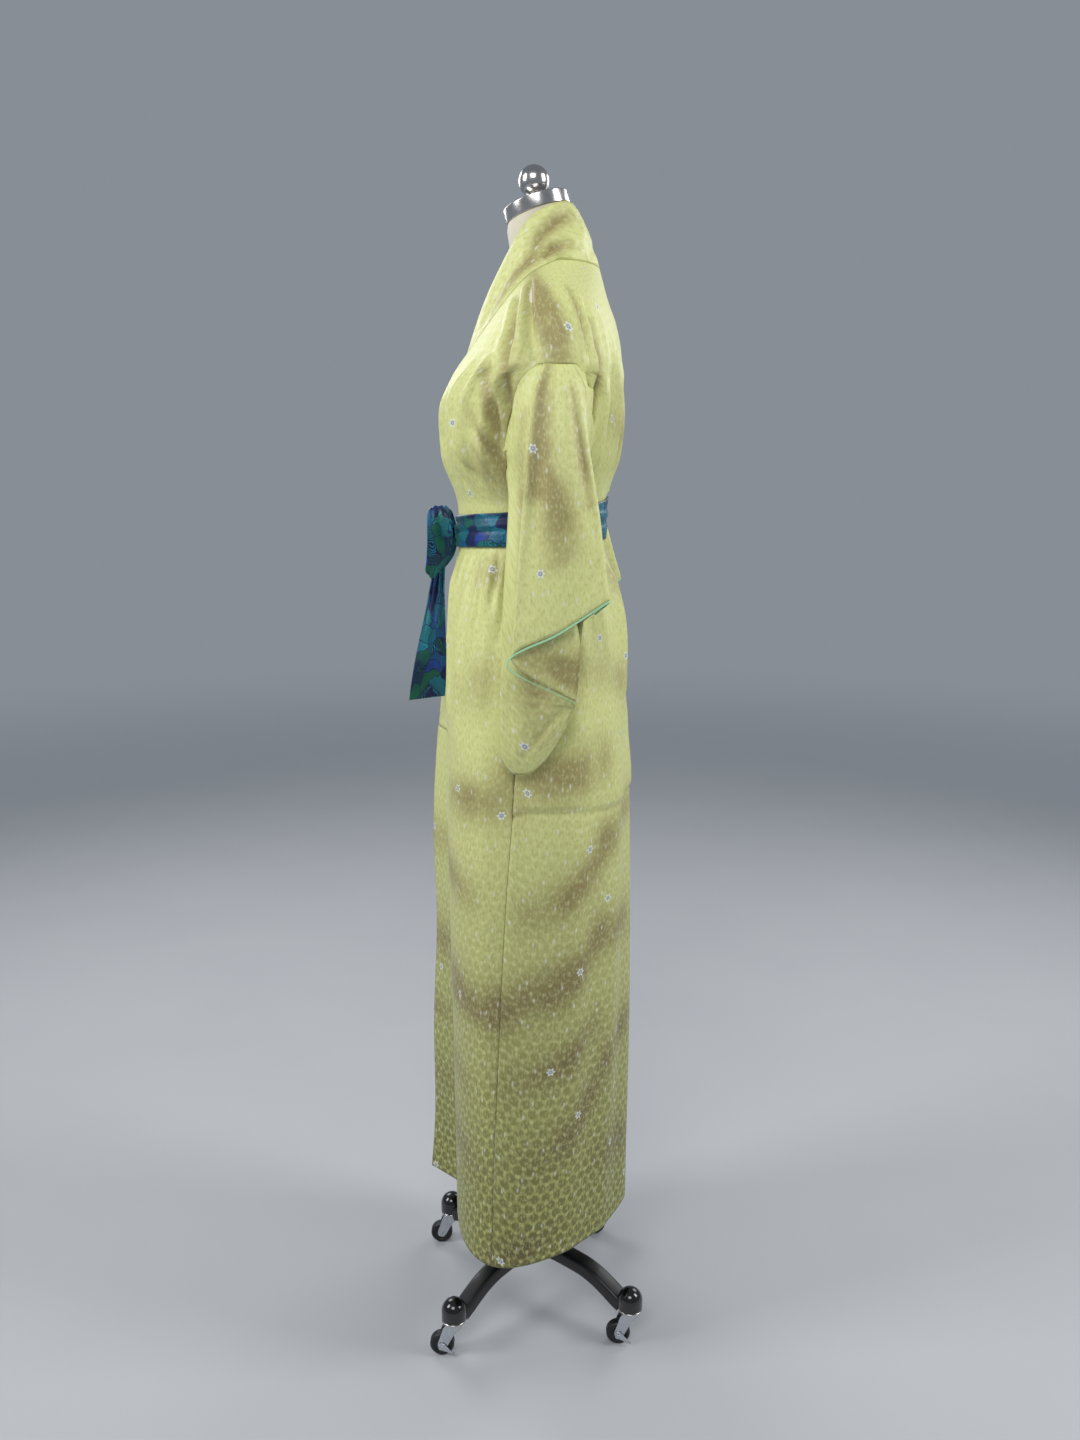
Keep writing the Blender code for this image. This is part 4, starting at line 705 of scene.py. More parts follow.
bodyCreases = table(
    "a0 b0 a1 b1 bow width height",
    (-0.052, 1.590, -0.048, 1.390, 0.002, 0.0060, 0.0050),
    (-0.036, 1.590, -0.036, 1.400, 0.002, 0.0055, -0.0055),
    (-0.022, 1.606, -0.018, 1.480, 0.001, 0.0055, 0.0062),
    (-0.009, 1.618, 0.002, 1.502, -0.002, 0.0055, -0.0070),
    (0.004, 1.610, 0.013, 1.502, -0.002, 0.0060, 0.0040),
    (-0.066, 1.520, -0.058, 1.400, 0.003, 0.0080, -0.0060),
    (-0.088, 1.500, -0.080, 1.380, 0.004, 0.0110, 0.0050),
    (-0.128, 1.425, -0.055, 1.372, 0.004, 0.0050, -0.0050),
    (-0.102, 1.436, -0.048, 1.396, 0.003, 0.0045, 0.0040),
    (-0.150, 1.400, -0.085, 1.352, 0.003, 0.0055, -0.0042),
    (-0.115, 1.374, -0.058, 1.345, 0.002, 0.0045, 0.0040),
    (-0.200, 1.390, -0.130, 1.350, 0.003, 0.0060, -0.0036),
    (-0.250, 1.420, -0.190, 1.350, 0.003, 0.0060, -0.0034),
    (0.054, 1.604, 0.060, 1.480, 0.001, 0.0045, 0.0042),
    (0.064, 1.600, 0.070, 1.440, 0.002, 0.0045, -0.0046),
    (0.075, 1.596, 0.080, 1.400, 0.002, 0.0055, 0.0050),
    (0.089, 1.580, 0.094, 1.370, 0.002, 0.0055, -0.0052),
    (0.104, 1.560, 0.106, 1.380, 0.002, 0.0070, 0.0044),
    (0.130, 1.560, 0.126, 1.380, 0.003, 0.0100, 0.0040),
    (0.160, 1.500, 0.165, 1.350, 0.003, 0.0080, -0.0044),
    (0.200, 1.480, 0.190, 1.345, 0.004, 0.0100, 0.0048),
    (0.260, 1.520, 0.240, 1.345, 0.004, 0.0120, -0.0044),
    (0.290, 1.450, 0.285, 1.345, 0.002, 0.0070, 0.0040),
    (-0.105, 1.248, -0.112, 1.165, 0.002, 0.0060, 0.0060),
    (-0.090, 1.250, -0.090, 1.185, 0.001, 0.0045, -0.0048),
    (-0.078, 1.250, -0.076, 1.170, 0.001, 0.0050, 0.0057),
    (-0.062, 1.250, -0.066, 1.140, 0.002, 0.0060, -0.0054),
    (-0.046, 1.250, -0.050, 1.120, 0.001, 0.0070, 0.0054),
    (-0.140, 1.250, -0.150, 1.120, 0.002, 0.0080, 0.0054),
    (-0.180, 1.250, -0.200, 1.150, 0.002, 0.0070, -0.0045),
    (-0.215, 1.248, -0.240, 1.130, 0.002, 0.0080, 0.0045),
    (-0.010, 1.250, -0.012, 1.090, 0.002, 0.0090, -0.0060),
    (0.020, 1.250, 0.024, 1.060, 0.002, 0.0090, 0.0066),
    (0.055, 1.250, 0.062, 1.100, 0.002, 0.0080, -0.0054),
    (0.085, 1.250, 0.098, 1.050, 0.003, 0.0100, 0.0063),
    (0.115, 1.250, 0.135, 1.120, 0.002, 0.0070, -0.0051),
    (0.150, 1.250, 0.175, 1.080, 0.003, 0.0090, 0.0060),
    (0.190, 1.250, 0.215, 1.140, 0.002, 0.0070, -0.0048),
    (0.235, 1.250, 0.260, 1.060, 0.003, 0.0100, 0.0054),
    (-0.095, 1.050, -0.085, 0.300, 0.006, 0.0260, 0.0030),
    (-0.020, 1.040, -0.010, 0.450, 0.006, 0.0240, -0.0027),
    (0.060, 1.020, 0.070, 0.200, 0.008, 0.0260, 0.0032),
    (0.120, 0.980, 0.130, 0.350, 0.006, 0.0220, -0.0035),
    (0.185, 1.030, 0.195, 0.190, 0.008, 0.0260, 0.0049),
    (0.250, 0.980, 0.255, 0.240, 0.008, 0.0240, -0.0046),
    (0.310, 1.000, 0.320, 0.190, 0.006, 0.0260, 0.0041),
)
# Blossoms seen from the wearer's left, in the same two distances
bodyBlossoms = (
    (-0.100, 1.234), (-0.165, 0.922), (-0.010, 0.926), (-0.050, 0.891), (0.112, 0.836), (-0.170, 0.602),
    (0.085, 0.652), (-0.240, 0.647), (0.027, 0.503), (-0.260, 0.488), (0.092, 0.421), (-0.047, 0.203),
    (0.150, 1.136), (0.038, 1.549),
)
overlapBlossoms = ((-0.300, 0.560), (-0.290, 0.800))
# Others are drawn by a seed, and each one's marks fade out at the end of its reach
scatter = dict(tries=260, reach=0.018, fade=0.005)
tuck = dict(height=0.897, depth=0.0034, seam=0.004, dent=0.0020, wave=0.004, waveTurn=9, top=0.99,
            fade=0.07)
ripple = dict(depth=0.0030, top=1.0, fade=0.3, upward=17, across=2.2)  # of the left overlap's free edge
creaseSlip, cloudSlip = (0.006, -0.004), (0.030, -0.075)  # how far they differ on the right side


def foldDepth(folds, place, heights):
    # Sum of soft ridges depth exp(-((place - centre) / half width)^2); each centre wanders with height
    out = np.zeros(np.broadcast(place, heights).shape)
    for i, (at, width, depth, low, high) in enumerate(zip(*folds.values())):
        along = ease((heights - low) / 0.05) * ease((high - heights) / 0.05)
        centre = at + 0.018 * np.sin(21 * heights + 2.1 * i)
        out += depth * along * np.exp(-(((place - centre) / (0.5 * width)) ** 2))
    return out


foldColumns = "place width depth low high"
frontFolds = table(
    foldColumns,
    (0.17, 0.09, 0.0045, 1.335, 1.440), (0.33, 0.08, 0.0060, 1.335, 1.500),
    (0.50, 0.10, 0.0065, 1.335, 1.530), (0.67, 0.08, 0.0075, 1.340, 1.550),
    (0.84, 0.09, 0.0080, 1.345, 1.550), (0.25, 0.09, 0.0050, 0.990, 1.255),
    (0.50, 0.08, 0.0055, 0.950, 1.255), (0.75, 0.10, 0.0050, 1.010, 1.255),
)
backFolds = table(
    foldColumns,
    (0.143, 0.13, 0.0070, 1.340, 1.540), (0.429, 0.11, 0.0060, 1.340, 1.560),
    (0.714, 0.12, 0.0050, 1.340, 1.540), (0.286, 0.12, 0.0055, 0.970, 1.255),
    (0.714, 0.11, 0.0050, 1.010, 1.255),
)


def innerReach(heights, side):  # where the body's front edge meets the overlap, or else the collar
    collar = np.where(heights >= cut["collarEnd"], read(collarSeam, "reach", heights), -1.0)
    seam = reachAtX(heights, read(overlapSeam, "x", heights), side)
    return np.where(heights >= cut["overlapTop"], collar, np.maximum(collar, seam))


def blossomField(lengths, places, around, up, seed, apart=0.085):
    # Offset from each point to its nearest blossom, and 1 near it: given places, then seeded ones
    random = np.random.default_rng(seed)
    flat, flatAround = lengths.reshape(-1, 2), around.ravel()
    centres = [flat[np.argmin((flatAround - a) ** 2 + (up.ravel() - b) ** 2)] for a, b in places]
    for candidate in flat[random.integers(0, len(flat), scatter["tries"])]:
        near = flatAround[np.argmin(((flat - candidate) ** 2).sum(axis=1))]
        handSet = len(places) and -0.18 < near < 0.12
        if not handSet and all(math.dist(candidate, c) > apart for c in centres):
            centres.append(candidate)
    centres = np.array(centres)
    offset = lengths[..., None, :] - centres
    nearest = np.argmin((offset**2).sum(axis=-1), axis=-1)
    offset = np.take_along_axis(offset, nearest[..., None, None], axis=-2)[..., 0, :]
    near = np.clip((scatter["reach"] - np.linalg.norm(offset, axis=-1)) / scatter["fade"], 0, 1)
    return np.concatenate([offset, near[..., None]], axis=-1)


def silkFields(lengths, clouds, depth, blossoms):
    return {
        "cloth": lengths.reshape(-1, 2), "cloudAndShade": np.clip(clouds, 0, 1).ravel(), "depth": depth.ravel(),
        "blossom": blossoms.reshape(-1, 3),
    }


def hemDyeAndShade(points):  # deeper toward the hem: dye, and painted shade of light falling off
    return 0.5 * ease((1.04 - points[..., 2]) / 0.8) + 0.5 * np.clip((1.02 - points[..., 2]) / 0.8, 0, 1)


def turnedOver(points, side):
    return points * np.array([side, 1.0, 1.0])


robeCloth = (silk, "chartreuse_silk", cut["cloth"])
collarCloth = (silk, "chartreuse_silk", cut["collarCloth"])


def sheetPiece(name, points, fields, cloth, keep=None, flip=False):
    # A grid of points as one layer of cloth: keep says which of its quads stay, flip turns them over
    material, slot, thickness = cloth
    faces = np.array(gridFaces(*points.shape[:2]))
    if keep is not None:
        faces = faces[keep.ravel()]
    if flip:
        faces = faces[:, ::-1]
    piece = addPiece(name + "_cloth", [(points, faces.tolist())], material, standBody, [name],
                     solid=False, fields=fields, cloth=thickness)
    return piece


def makeBody(side):
    # Points (height, share from the front edge to the middle of the back) on the robe's own sections,
    # then moved along their normals by the folds, the creases and the tuck
    shoulder = cut["sleeveTop"]
    rows, rowsOver = cut["bodyRows"]
    heights = np.concatenate([
        np.linspace(cut["hem"], shoulder, rows), np.linspace(shoulder, cut["neckSeam"], rowsOver)[1:],
    ])
    h = heights[:, None]
    seam = reachAtY(heights, read(sideSeam, "y", heights), side)
    front = reachAtY(heights, read(armholeFront, "y", heights), side)
    back = reachAtY(heights, read(armholeBack, "y", heights), side)
    below = heights < cut["sideOpening"]
    front = np.where(below, seam - cut["seamGap"], front)
    back = np.where(below, seam + cut["seamGap"], back)
    total = robeRings(heights, insetAt(heights, side))[2][:, -1]
    inner = innerReach(heights, side) + cut["seamGap"] + cut["cornerGap"] * ease((heights - 1.61) / 0.045)
    frontPlace, capPlace, backPlace = (np.linspace(0, 1, n) for n in cut["bodyColumns"])
    capStart = len(frontPlace) - 1  # the armhole lies between these two columns
    capEnd = capStart + len(capPlace) - 1
    inner, front, back = inner[:, None], front[:, None], back[:, None]
    reaches = np.concatenate([
        inner + (front - inner) * frontPlace, front + (back - front) * capPlace[1:-1],
        back + (total[:, None] - cut["seamGap"] - back) * backPlace,
    ], axis=1)
    points = onRobe(heights, reaches, side)
    frontMap, capMap, backMap = cut["mapWidths"]
    across = np.concatenate([
        frontMap * frontPlace, frontMap + capMap * capPlace[1:-1], frontMap + capMap + backMap * backPlace,
    ])
    lengths = clothLengths(points, across)
    # Over the shoulder the lengths are evened out, since the columns there run round the armhole
    overShoulder = np.exp(-(((np.arange(len(across)) - 0.5 * (capStart + capEnd)) / 9) ** 2))
    atTop = lengths[np.searchsorted(heights, shoulder), :, 1]
    lengths[..., 1] += overShoulder * (atTop[capStart:capEnd].mean() - atTop)
    around, up = roundTheRobe(points), points[..., 2]
    # The right front keeps a quarter of its folds where the left one covers it
    covered = 1 - 0.75 * ease((0.6 - frontPlace) / 0.4) if side == right else np.ones(len(frontPlace))
    ridges = np.zeros(points.shape[:2])
    ridges[:, : len(frontPlace)] = foldDepth(frontFolds, frontPlace, h) * covered
    ridges[:, -len(backPlace) :] = foldDepth(backFolds, backPlace, h)
    creases = slipped(bodyCreases, side, *creaseSlip)
    sashLow, sashHigh = cut["underSash"]
    clearOfSash = 1 - ease((up - sashLow) / 0.01) * ease((sashHigh - up) / 0.012)
    free = np.ones_like(up)
    free[:, : len(frontPlace)] *= covered
    ridges += softStrokes(around, up, creases) * clearOfSash * free
    wave = tuck["wave"] * np.sin(tuck["waveTurn"] * backPlace)
    above = h - tuck["height"] - wave
    stepped = ease((above + 0.002) / tuck["seam"]) * ease((tuck["top"] - h) / tuck["fade"])
    dented = np.exp(-(((above + 0.003) / tuck["seam"]) ** 2))
    ridges[:, -len(backPlace) :] += tuck["depth"] * stepped - tuck["dent"] * dented
    points = points + normalsOf(points) * ridges[..., None]
    clouds = softStrokes(around, up, slipped(bodyCloudsAndShade, side, *cloudSlip))
    places, seed = (bodyBlossoms, 11) if side == left else ((), 29)
    blossoms = blossomField(lengths, places, around, up, seed)
    keep = np.ones((len(heights) - 1, points.shape[1] - 1), bool)
    keep[heights[:-1] < shoulder - 1e-6, capStart:capEnd] = False
    fields = silkFields(lengths, clouds, hemDyeAndShade(points), blossoms)
    return sheetPiece(named("body_", side), turnedOver(points, side), fields, robeCloth,
                      keep, flip=side == right)


def makeOverlap(side):
    # Points (height, share from the free edge to the overlap's seam), up to the collar's lower end,
    # and above it from the collar's seam; the left one's free edge ripples
    end = cut["collarEnd"]
    place = np.linspace(0, 1, cut["overlapColumns"])
    rows = []
    for low, high, count in zip((cut["hem"], end), (end - 0.0006, cut["overlapTop"]), cut["overlapRows"]):
        heights = np.linspace(low, high, count)
        outer = innerReach(heights, side) - cut["seamGap"]
        inner = np.full(count, -cut["overlapWidth"])
        if low >= end:
            inner = read(collarSeam, "reach", heights) + cut["seamGap"]
        wide = outer - inner > 0.0025
        reaches = inner[:, None] + (outer - inner)[:, None] * place
        rows.append(onRobe(heights, reaches, side)[wide])
    points = np.concatenate(rows)
    lengths = clothLengths(points, cut["overlapMap"] * (place - 1))
    up = points[..., 2]
    around = roundTheRobe(points)
    if side == left:
        height = ripple["depth"] * ease((ripple["top"] - up) / ripple["fade"])
        height = height * np.sin(ripple["upward"] * up + ripple["across"] * place) * (1 - place)
        points = points + normalsOf(points) * height[..., None]
    clouds = softStrokes(around, up, slipped(bodyCloudsAndShade, side, *cloudSlip))
    seed = 41 if side == left else 43
    blossoms = blossomField(lengths, overlapBlossoms, around, up, seed, 0.12)
    fields = silkFields(lengths, clouds, hemDyeAndShade(points), blossoms)
    return sheetPiece(named("okumi_", side), turnedOver(points, side), fields, robeCloth,
                      flip=side == right)


def alongCurve(points, fractions):  # points at shares of a line's length, by cubics through its own
    steps = runLength(*np.diff(points, axis=0).T)
    at = np.asarray(fractions) * steps[-1]
    return np.stack([smoothed(steps, column, at) for column in points.T], axis=1)


def collarHalf(side):
    # The collar's seam and free edge, from its lower end up the front and round to the middle of the
    # back: on the robe up to the crossing, then the edge follows its own curve
    marks = (cut["collarEnd"] + 0.0006, 1.45, cut["crossing"], cut["neckSeam"])
    stretches = [np.linspace(*ends) for ends in zip(marks, marks[1:], cut["collarRows"])]
    heights = np.concatenate([stretches[0], stretches[1][1:], stretches[2][1:]])
    seam = onRobe(heights, (read(collarSeam, "reach", heights) - cut["seamGap"])[:, None], side)[:, 0]
    low = heights[heights <= cut["crossing"] + 1e-9]
    edge = onRobe(low, read(collarEdge, "reach", low)[:, None], side)[:, 0]
    top = np.array([cut["neckSeam"]])
    total = robeRings(top, insetAt(top, side))[2][0, -1]
    start = float(read(collarSeam, "reach", cut["neckSeam"]))
    around = np.linspace(start, total, cut["collarRows"][3])[None, 1:]
    seam = np.concatenate([seam, onRobe(top, around, side)[0]])
    upper = np.array([neckEdge[n] for n in "xyz"]).T + [0, originShift, 0]
    upper[0] = edge[-1]
    if side == right:
        upper[1, 1] += 0.5 * cut["underlap"]
    above = seam[len(edge) - 1 :]
    run = runLength(*np.diff(above, axis=0).T)
    return seam, np.concatenate([edge, alongCurve(upper, run[1:] / run[-1])])


collar = dict(
    width=0.058, standsFrom=1.56,  # the height from which the band stands away from the shoulder
    lift=0.0006, bow=0.005, roll=0.0016, rollFrom=0.86,
)
# Creases of the collar: metres along it from the back of the neck (+ to the left), and across it
collarCreases = table(
    "a0 b0 a1 b1 bow width height",
    (0.035, 0.052, 0.150, 0.020, 0.003, 0.0055, -0.0081),
    (0.030, 0.036, 0.110, 0.006, -0.002, 0.0045, 0.0054),
    (0.085, 0.020, 0.125, 0.010, 0.001, 0.0040, -0.0072),
    (0.000, 0.018, 0.050, 0.010, 0.002, 0.0050, -0.0054),
    (0.150, 0.034, 0.250, 0.022, 0.003, 0.0080, -0.0054),
    (-0.040, 0.050, -0.140, 0.022, 0.003, 0.0055, -0.0081),
    (-0.030, 0.030, -0.100, 0.008, -0.002, 0.0045, 0.0054),
    (-0.090, 0.016, -0.130, 0.008, 0.001, 0.0040, -0.0063),
    (-0.160, 0.036, -0.240, 0.020, 0.003, 0.0080, -0.0054),
    (0.300, 0.012, 0.420, 0.030, 0.003, 0.0070, -0.0036),
    (-0.290, 0.014, -0.400, 0.030, 0.003, 0.0070, -0.0036),
)
# Clouds of the collar: painted shade along its creases, and wide dyed bands
collarCloudsAndShade = table(
    "a0 b0 a1 b1 bow width height",
    (0.040, 0.048, 0.145, 0.020, 0.003, 0.0075, 0.95),
    (0.080, 0.018, 0.125, 0.009, 0.001, 0.0050, 1.10),
    (0.110, 0.014, 0.230, 0.014, 0.002, 0.0090, 0.80),
    (0.260, 0.010, 0.330, 0.040, 0.004, 0.0200, 0.40),
    (-0.120, 0.030, -0.230, 0.020, 0.003, 0.0200, 0.50),
    (-0.330, 0.020, -0.420, 0.040, 0.003, 0.0250, 0.50),
    (0.480, 0.020, 0.560, 0.040, 0.003, 0.0250, 0.50),
)


def makeCollar():
    # Straight lines from the seam to the free edge, bowed outward where the band stands round the neck,
    # and rolled in at the edge
    seamLeft, edgeLeft = collarHalf(left)
    seamRight, edgeRight = (turnedOver(line, right) for line in collarHalf(right))
    seam = np.concatenate([seamLeft, seamRight[-2::-1]])
    edge = np.concatenate([edgeLeft, edgeRight[-2::-1]])
    across = np.linspace(0, 1, cut["collarColumns"])[None, :, None]
    lift = collar["lift"] * ease((seam[:, 2] - collar["standsFrom"]) / 0.06)
    base = seam + unit(edge - seam) * lift[:, None]
    points = base[:, None, :] * (1 - across) + edge[:, None, :] * across
    standing = ease((seam[:, 2] - collar["standsFrom"]) / 0.09)[:, None, None]
    outward = (points - [0.0, 0.01 + originShift, 0.0]) * [1, 1, 0]
    points = points + unit(outward) * collar["bow"] * standing * np.sin(math.pi * across)
    middle = len(seam) // 2
    along = runLength(*np.diff(0.5 * (seam + edge), axis=0).T)
    along = (along[middle] - along)[:, None] * np.ones(across.shape[:2])
    wide = collar["width"] * across[..., 0] * np.ones_like(along)
    creases = softStrokes(along, wide, collarCreases)
    turned = np.clip((across[..., 0] - collar["rollFrom"]) / (1 - collar["rollFrom"]), 0, 1)
    roll = collar["roll"] * np.sin(math.pi * turned * 0.5) ** 2
    inwards = roll - creases * np.sin(math.pi * across[..., 0]) ** 0.5
    points = points + normalsOf(points) * inwards[..., None]
    lengths = np.stack([wide, along], axis=-1)
    clouds = softStrokes(along, wide, collarCloudsAndShade)
    blossoms = blossomField(lengths, (), along, wide, 53, 0.16)
    fields = silkFields(lengths, clouds, 0 * along, blossoms)
    return sheetPiece("collar", points, fields, collarCloth,
                      flip=True)


# Sleeve: drop is 0 at the shoulder seam, 1 at the cuff edge and 1.7 at the bag's bottom seam.
# Each line runs down the sleeve, in the order in which the lines stand round its section.
sleeve = dict(
    swingRight=0.050,  # the right sleeve hangs this much further back at its cuff
    drops=(0, 0.036, 0.099, 0.174, 0.249, 0.324), heights=(1.4993, 1.485, 1.460, 1.430, 1.400, 1.370),
    lap=0.0012,  # over the body's edge round the armhole
    cells=9, rowsToCuff=69, rowsBelow=33, stationGap=0.035, dropLength=0.34,
    cuffRoll=0.0013, cuffTip=0.0052,
    creaseSlip=(0.004, 0.010), cloudSlip=(0.010, -0.060),  # how far they differ on the right side
)
innerEdge = table(
    "drop x y z",
    (0.424, 0.180, 0.050, 1.330), (0.549, 0.188, 0.015, 1.280), (0.70, 0.195, -0.015, 1.220),
    (0.85, 0.199, -0.030, 1.160), (1.0, 0.202, -0.038, 1.100), (1.3, 0.206, -0.043, 1.045),
    (1.5, 0.208, -0.044, 0.999), (1.6, 0.210, -0.040, 0.975), (1.7, 0.214, -0.030, 0.958),
)
innerMiddle = table(
    "drop x y z",
    (0.0, 0.2212, 0.052, 1.4993), (0.1, 0.2190, 0.070, 1.463), (0.324, 0.205, 0.070, 1.385),
    (0.70, 0.210, 0.034, 1.250), (1.0, 0.214, 0.024, 1.140), (1.3, 0.210, 0.006, 1.048),
    (1.5, 0.210, 0.000, 1.008), (1.6, 0.212, -0.005, 0.984), (1.7, 0.216, -0.008, 0.958),
)
innerBack = table(
    "drop x y z",
    (0.0, 0.2214, 0.050, 1.4993), (0.1, 0.2240, 0.064, 1.468), (0.324, 0.2290, 0.070, 1.395),
    (0.70, 0.2330, 0.078, 1.275), (1.0, 0.2370, 0.0655, 1.170), (1.15, 0.2365, 0.060, 1.112),
    (1.3, 0.2340, 0.054, 1.052), (1.5, 0.2300, 0.042, 1.026), (1.6, 0.2250, 0.029, 1.001),
    (1.7, 0.2190, 0.015, 0.978),
)
backFold = table(
    "drop x y z",
    (0.0, 0.2215, 0.046, 1.4993), (0.1, 0.2340, 0.055, 1.470), (0.324, 0.2460, 0.066, 1.402),
    (0.70, 0.2520, 0.084, 1.290), (1.0, 0.2560, 0.098, 1.200),
)
outerMiddle = table(
    "drop x y z",
    (0.0, 0.2217, 0.030, 1.4993), (0.1, 0.2400, 0.030, 1.468), (0.324, 0.2560, 0.030, 1.391),
    (0.70, 0.2620, 0.031, 1.262), (1.0, 0.2630, 0.034, 1.160),
)
frontFold = table(
    "drop x y z",
    (0.0, 0.2215, 0.015, 1.4993), (0.1, 0.2340, 0.003, 1.465), (0.324, 0.2470, -0.006, 1.377),
    (0.70, 0.2530, -0.020, 1.235), (1.0, 0.2550, -0.030, 1.121),
)
turnedFold = table(
    "drop x y z",
    (0.0, 0.2214, 0.0115, 1.4993), (0.1, 0.2270, 0.010, 1.463), (0.324, 0.2350, 0.016, 1.372),
    (0.70, 0.2400, 0.050, 1.195), (0.85, 0.2405, 0.0615, 1.132),
    (1.0, 0.2420, 0.0560, 1.064), (1.15, 0.2395, 0.055, 1.057),
    (1.3, 0.2340, 0.054, 1.052), (1.5, 0.2300, 0.042, 1.026), (1.6, 0.2250, 0.029, 1.001),
    (1.7, 0.2190, 0.015, 0.978),
)
frontMiddle = table(
    "drop x y z",
    (0.0, 0.2213, 0.009, 1.4993), (0.1, 0.2235, -0.004, 1.463), (0.324, 0.2180, -0.012, 1.372),
    (0.70, 0.2280, -0.006, 1.215), (1.0, 0.2310, -0.002, 1.084), (1.3, 0.2290, 0.002, 1.048),
    (1.5, 0.2260, -0.002, 1.008), (1.6, 0.2220, -0.006, 0.984), (1.7, 0.2160, -0.008, 0.958),
)
frontEdge = table(
    "drop x y z",
    (0.424, 0.190, -0.034, 1.330), (0.549, 0.202, -0.036, 1.280), (0.70, 0.210, -0.040, 1.220),
    (0.85, 0.214, -0.043, 1.160), (1.0, 0.216, -0.045, 1.100), (1.3, 0.218, -0.047, 1.045),
    (1.5, 0.218, -0.047, 0.999), (1.6, 0.217, -0.042, 0.975), (1.7, 0.214, -0.030, 0.958),
)
# Creases and clouds of the sleeve: metres round it from its inner edge at the back, metres down it
sleeveCreases = table(
    "a0 b0 a1 b1 bow width height",
    (0.171, 0.000, 0.178, 0.330, 0.001, 0.0055, 0.0034),
    (0.158, 0.010, 0.162, 0.300, 0.002, 0.0070, -0.0036),
    (0.136, 0.020, 0.130, 0.330, 0.004, 0.0090, 0.0032),
    (0.118, 0.010, 0.112, 0.240, 0.003, 0.0060, -0.0042),
    (0.148, 0.130, 0.140, 0.330, 0.004, 0.0080, 0.0024),
    (0.105, 0.250, 0.135, 0.330, 0.003, 0.0060, -0.0026),
    (0.200, 0.010, 0.200, 0.300, 0.002, 0.0060, -0.0040),
    (0.225, 0.020, 0.222, 0.400, 0.003, 0.0060, 0.0036),
    (0.250, 0.200, 0.240, 0.480, 0.003, 0.0070, -0.0030),
    (0.060, 0.350, 0.040, 0.520, 0.003, 0.0070, 0.0034),
    (0.030, 0.330, 0.070, 0.420, 0.004, 0.0060, -0.0046),
    (0.015, 0.380, 0.060, 0.440, 0.003, 0.0050, 0.0034),
    (0.212, 0.420, 0.250, 0.540, 0.003, 0.0060, -0.0032),
    (0.262, 0.380, 0.262, 0.560, 0.002, 0.0060, 0.0024),
)
# The clouds: dyed bands, and painted shade beside the sleeve's folds and inside the cuff's opening
sleeveCloudsAndShade = table(
    "a0 b0 a1 b1 bow width height",
    (0.163, 0.000, 0.162, 0.150, 0.002, 0.013, 1.15),
    (0.160, 0.110, 0.136, 0.250, 0.006, 0.013, 0.95),
    (0.196, 0.010, 0.200, 0.200, 0.002, 0.010, 0.80),
    (0.118, 0.040, 0.112, 0.200, 0.002, 0.007, 0.90),
    (0.252, 0.060, 0.250, 0.330, 0.003, 0.010, 0.60),
    (0.190, 0.322, 0.212, 0.300, 0.002, 0.018, 0.90),
    (0.035, 0.340, 0.040, 0.420, 0.004, 0.040, 0.80),
    (0.236, 0.330, 0.250, 0.400, 0.002, 0.030, 0.60),
    (0.245, 0.430, 0.235, 0.520, 0.004, 0.022, 0.45),
    (0.020, 0.120, 0.060, 0.200, 0.004, 0.030, 0.50),
)
sleeveBlossoms = ((0.166, 0.100), (0.050, 0.385))


def sleeveLines(drops, side):
    # The nine lines that a sleeve's rows pass through, as (rows, stations, 3): cubics down each line,
    # whose two edges start along the armhole. Below the cuff the outer stations lie on a chord.
    free = [innerMiddle, innerBack, backFold, outerMiddle, frontFold, turnedFold, frontMiddle]
    middle = [np.stack([read(line, n, drops, "drop") for n in "xyz"], axis=-1) for line in free]
    ends = []
    held = np.array(sleeve["heights"])
    heldDrops = np.array(sleeve["drops"])
    for edges, line, inward in ((armholeBack, innerEdge, -1), (armholeFront, frontEdge, 1)):
        reach = reachAtY(held, read(edges, "y", held), left) - inward * sleeve["lap"]
        armhole = onRobe(held, reach[:, None], left)[:, 0] - [0, originShift, 0]
        armhole[:, 0] += 0.0005
        knots = np.concatenate([heldDrops, line["drop"]])
        values = np.concatenate([armhole, np.stack([line[n] for n in "xyz"], axis=-1)])
        ends.append(np.stack([smoothed(knots, values[:, i], drops) for i in range(3)], axis=-1))
    lines = np.stack([ends[0], *middle, ends[1]], axis=1)
    below = (drops > 1.0)[:, None, None]
    share = np.array([0.25, 0.5, 0.75])[None, :, None]
    lines[:, 3:6] = np.where(below, lines[:, 2:3] + (lines[:, 6:7] - lines[:, 2:3]) * share, lines[:, 3:6])
    if side == right:
        hang = np.clip((1.5 - lines[..., 2]) / 0.3, 0, 1.2)
        tied = ease((0.1 + drops) / 0.424)
        freedom = np.ones((len(drops), 9))
        attached = np.clip((drops - 0.324) / 0.1, 0, 1)
        freedom[:, 0] = freedom[:, 8] = attached
        freedom[:, 1] = freedom[:, 7] = np.maximum(tied, attached)
        lines[..., 1] += sleeve["swingRight"] * hang * freedom
    lines[..., 1] += originShift
    return lines


def throughStations(lines, fine):
    # A cubic through the stations of each row, with slopes by central differences
    slope = np.gradient(lines, axis=1)
    cell = np.clip(fine.astype(int), 0, lines.shape[1] - 2)
    t = (fine - cell)[None, :, None]
    a, b, slopeA, slopeB = lines[:, cell], lines[:, cell + 1], slope[:, cell], slope[:, cell + 1]
    return (
        (1 + 2 * t) * (1 - t) ** 2 * a + t * (1 - t) ** 2 * slopeA
        + t * t * (3 - 2 * t) * b - t * t * (1 - t) * slopeB
    )


